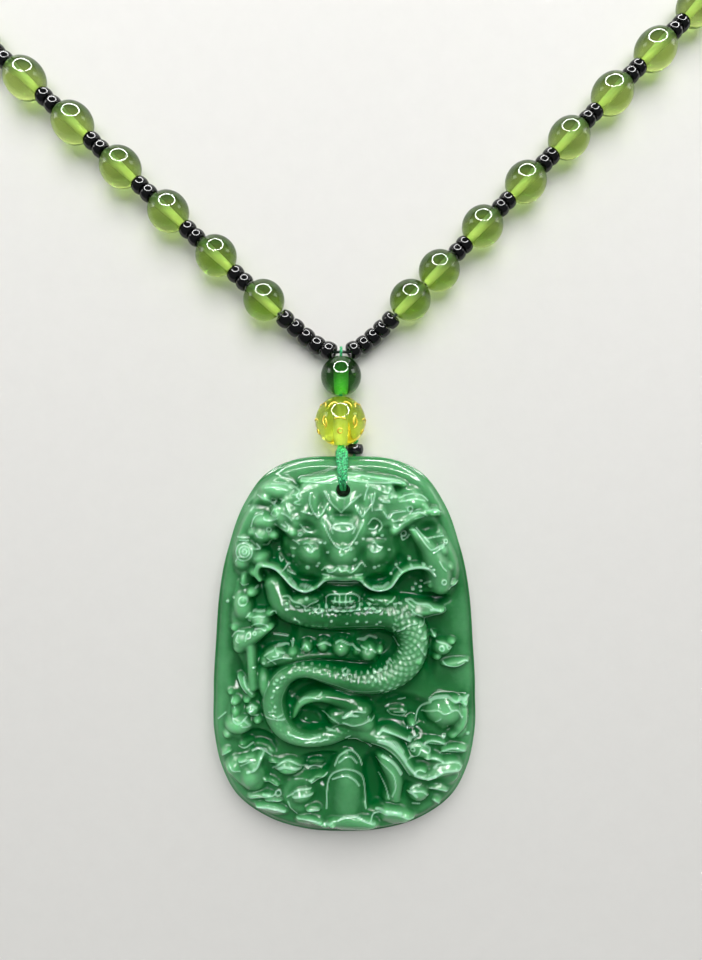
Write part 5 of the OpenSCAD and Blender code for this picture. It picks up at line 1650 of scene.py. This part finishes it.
class NECKLACE_OT_stage(bpy.types.Operator):
    """Sets the floor, the lights and the camera"""
    bl_idname = "necklace.stage"
    bl_label = "Stage"

    def execute(self, context):
        settings = context.scene.necklace_stage
        scene = context.scene
        bm = bmesh.new()
        bmesh.ops.create_grid(bm, x_segments=8, y_segments=8, size=FLOOR_HALF)
        floor = bpy.data.objects.new("floor", to_mesh(bm, "floor"))
        floor.data.materials.append(floor_material(settings.floor))
        scene.collection.objects.link(floor)

        # The ring light leans over the pendant from behind the strand.
        middle = middle_of("pendant")
        aim = Vector((0, math.sin(RING_LEAN), math.cos(RING_LEAN)))
        bm = bmesh.new()
        ring = bmesh.ops.create_circle(bm, segments=TUBE_SIDES, radius=RING_TUBE_R)["verts"]
        upright = Matrix.Rotation(math.radians(90), 3, "X")
        bmesh.ops.rotate(bm, verts=ring, cent=(0, 0, 0), matrix=upright)
        bmesh.ops.translate(bm, verts=ring, vec=(RING_R, 0, 0))
        bmesh.ops.spin(bm, geom=bm.verts[:] + bm.edges[:], cent=(0, 0, 0), axis=(0, 0, 1), angle=2 * math.pi,
                       steps=RING_SIDES, use_merge=True)
        bmesh.ops.recalc_face_normals(bm, faces=bm.faces)
        lamp = bpy.data.objects.new("ring_light", to_mesh(bm, "ring_light"))
        turn = aim.to_track_quat("Z", "Y").to_matrix().to_4x4()
        lamp.matrix_world = Matrix.Translation(middle + aim * RING_DISTANCE) @ turn
        lamp.data.materials.append(glow_material("ring_glow", settings.ring_power))
        only_reflected(lamp)
        scene.collection.objects.link(lamp)

        # Two low cards show in polished surfaces and light nothing else.
        for side in (-1, 1):
            bm = bmesh.new()
            bmesh.ops.create_grid(bm, x_segments=1, y_segments=1, size=0.5)
            card = bpy.data.objects.new("side_card", to_mesh(bm, "side_card"))
            place = middle + Vector((side * CARD_PLACE.x, CARD_PLACE.y, CARD_PLACE.z))
            card.matrix_world = aimed(place, middle + CARD_TARGET) @ Matrix.Diagonal((*CARD_SIZE, 1, 1))
            card.data.materials.append(glow_material("card_glow", settings.card))
            only_reflected(card)
            scene.collection.objects.link(card)

        key = bpy.data.lights.new("soft_key", "AREA")
        key.energy = settings.key
        key.size = KEY_SIZE
        holder = bpy.data.objects.new("soft_key", key)
        holder.matrix_world = aimed(middle + KEY_PLACE, middle + KEY_TARGET, "-Z")
        holder.visible_glossy = False
        scene.collection.objects.link(holder)

        world = bpy.data.worlds.new("soft_studio")
        world.use_nodes = True
        sky = world.node_tree.nodes["Background"]
        sky.inputs["Color"].default_value = SKY_COLOUR
        sky.inputs["Strength"].default_value = settings.sky
        scene.world = world
        scene.view_settings.view_transform = "Standard"

        camera = bpy.data.cameras.new("camera")
        camera.lens = settings.lens
        camera.clip_start = NEAREST_SEEN
        holder = bpy.data.objects.new("camera", camera)
        holder.location = (Vector((*EYE_OVER, EYE_HEIGHT)) - GROUND_MIDDLE) * MM
        scene.collection.objects.link(holder)
        scene.camera = holder
        return {"FINISHED"}


class NECKLACE_PT_panel(bpy.types.Panel):
    """Lists the necklace's pieces"""
    bl_idname = "NECKLACE_PT_panel"
    bl_label = "Necklace"
    bl_space_type = "VIEW_3D"
    bl_region_type = "UI"
    bl_category = "Necklace"

    def draw(self, context):
        for operator in OPERATORS:
            self.layout.operator(operator.bl_idname)


SETTINGS = {
    "necklace_pendant": PendantSettings,
    "necklace_beads": BeadSettings,
    "necklace_cord": CordSettings,
    "necklace_stage": StageSettings,
}
OPERATORS = [
    NECKLACE_OT_stage, NECKLACE_OT_pendant, NECKLACE_OT_strand, NECKLACE_OT_drop_beads, NECKLACE_OT_gilt,
    NECKLACE_OT_cord,
]


def register():
    for cls in [*SETTINGS.values(), *OPERATORS, NECKLACE_PT_panel]:
        bpy.utils.register_class(cls)
    for name, cls in SETTINGS.items():
        setattr(bpy.types.Scene, name, PointerProperty(type=cls))


def unregister():
    for name in SETTINGS:
        delattr(bpy.types.Scene, name)
    for cls in reversed([*SETTINGS.values(), *OPERATORS, NECKLACE_PT_panel]):
        bpy.utils.unregister_class(cls)


def main():
    register()
    bpy.ops.necklace.stage()
    bpy.ops.necklace.pendant()
    bpy.ops.necklace.strand()
    bpy.ops.necklace.drop_beads()
    bpy.ops.necklace.gilt()
    bpy.ops.necklace.cord()


if __name__ == "__main__":
    main()
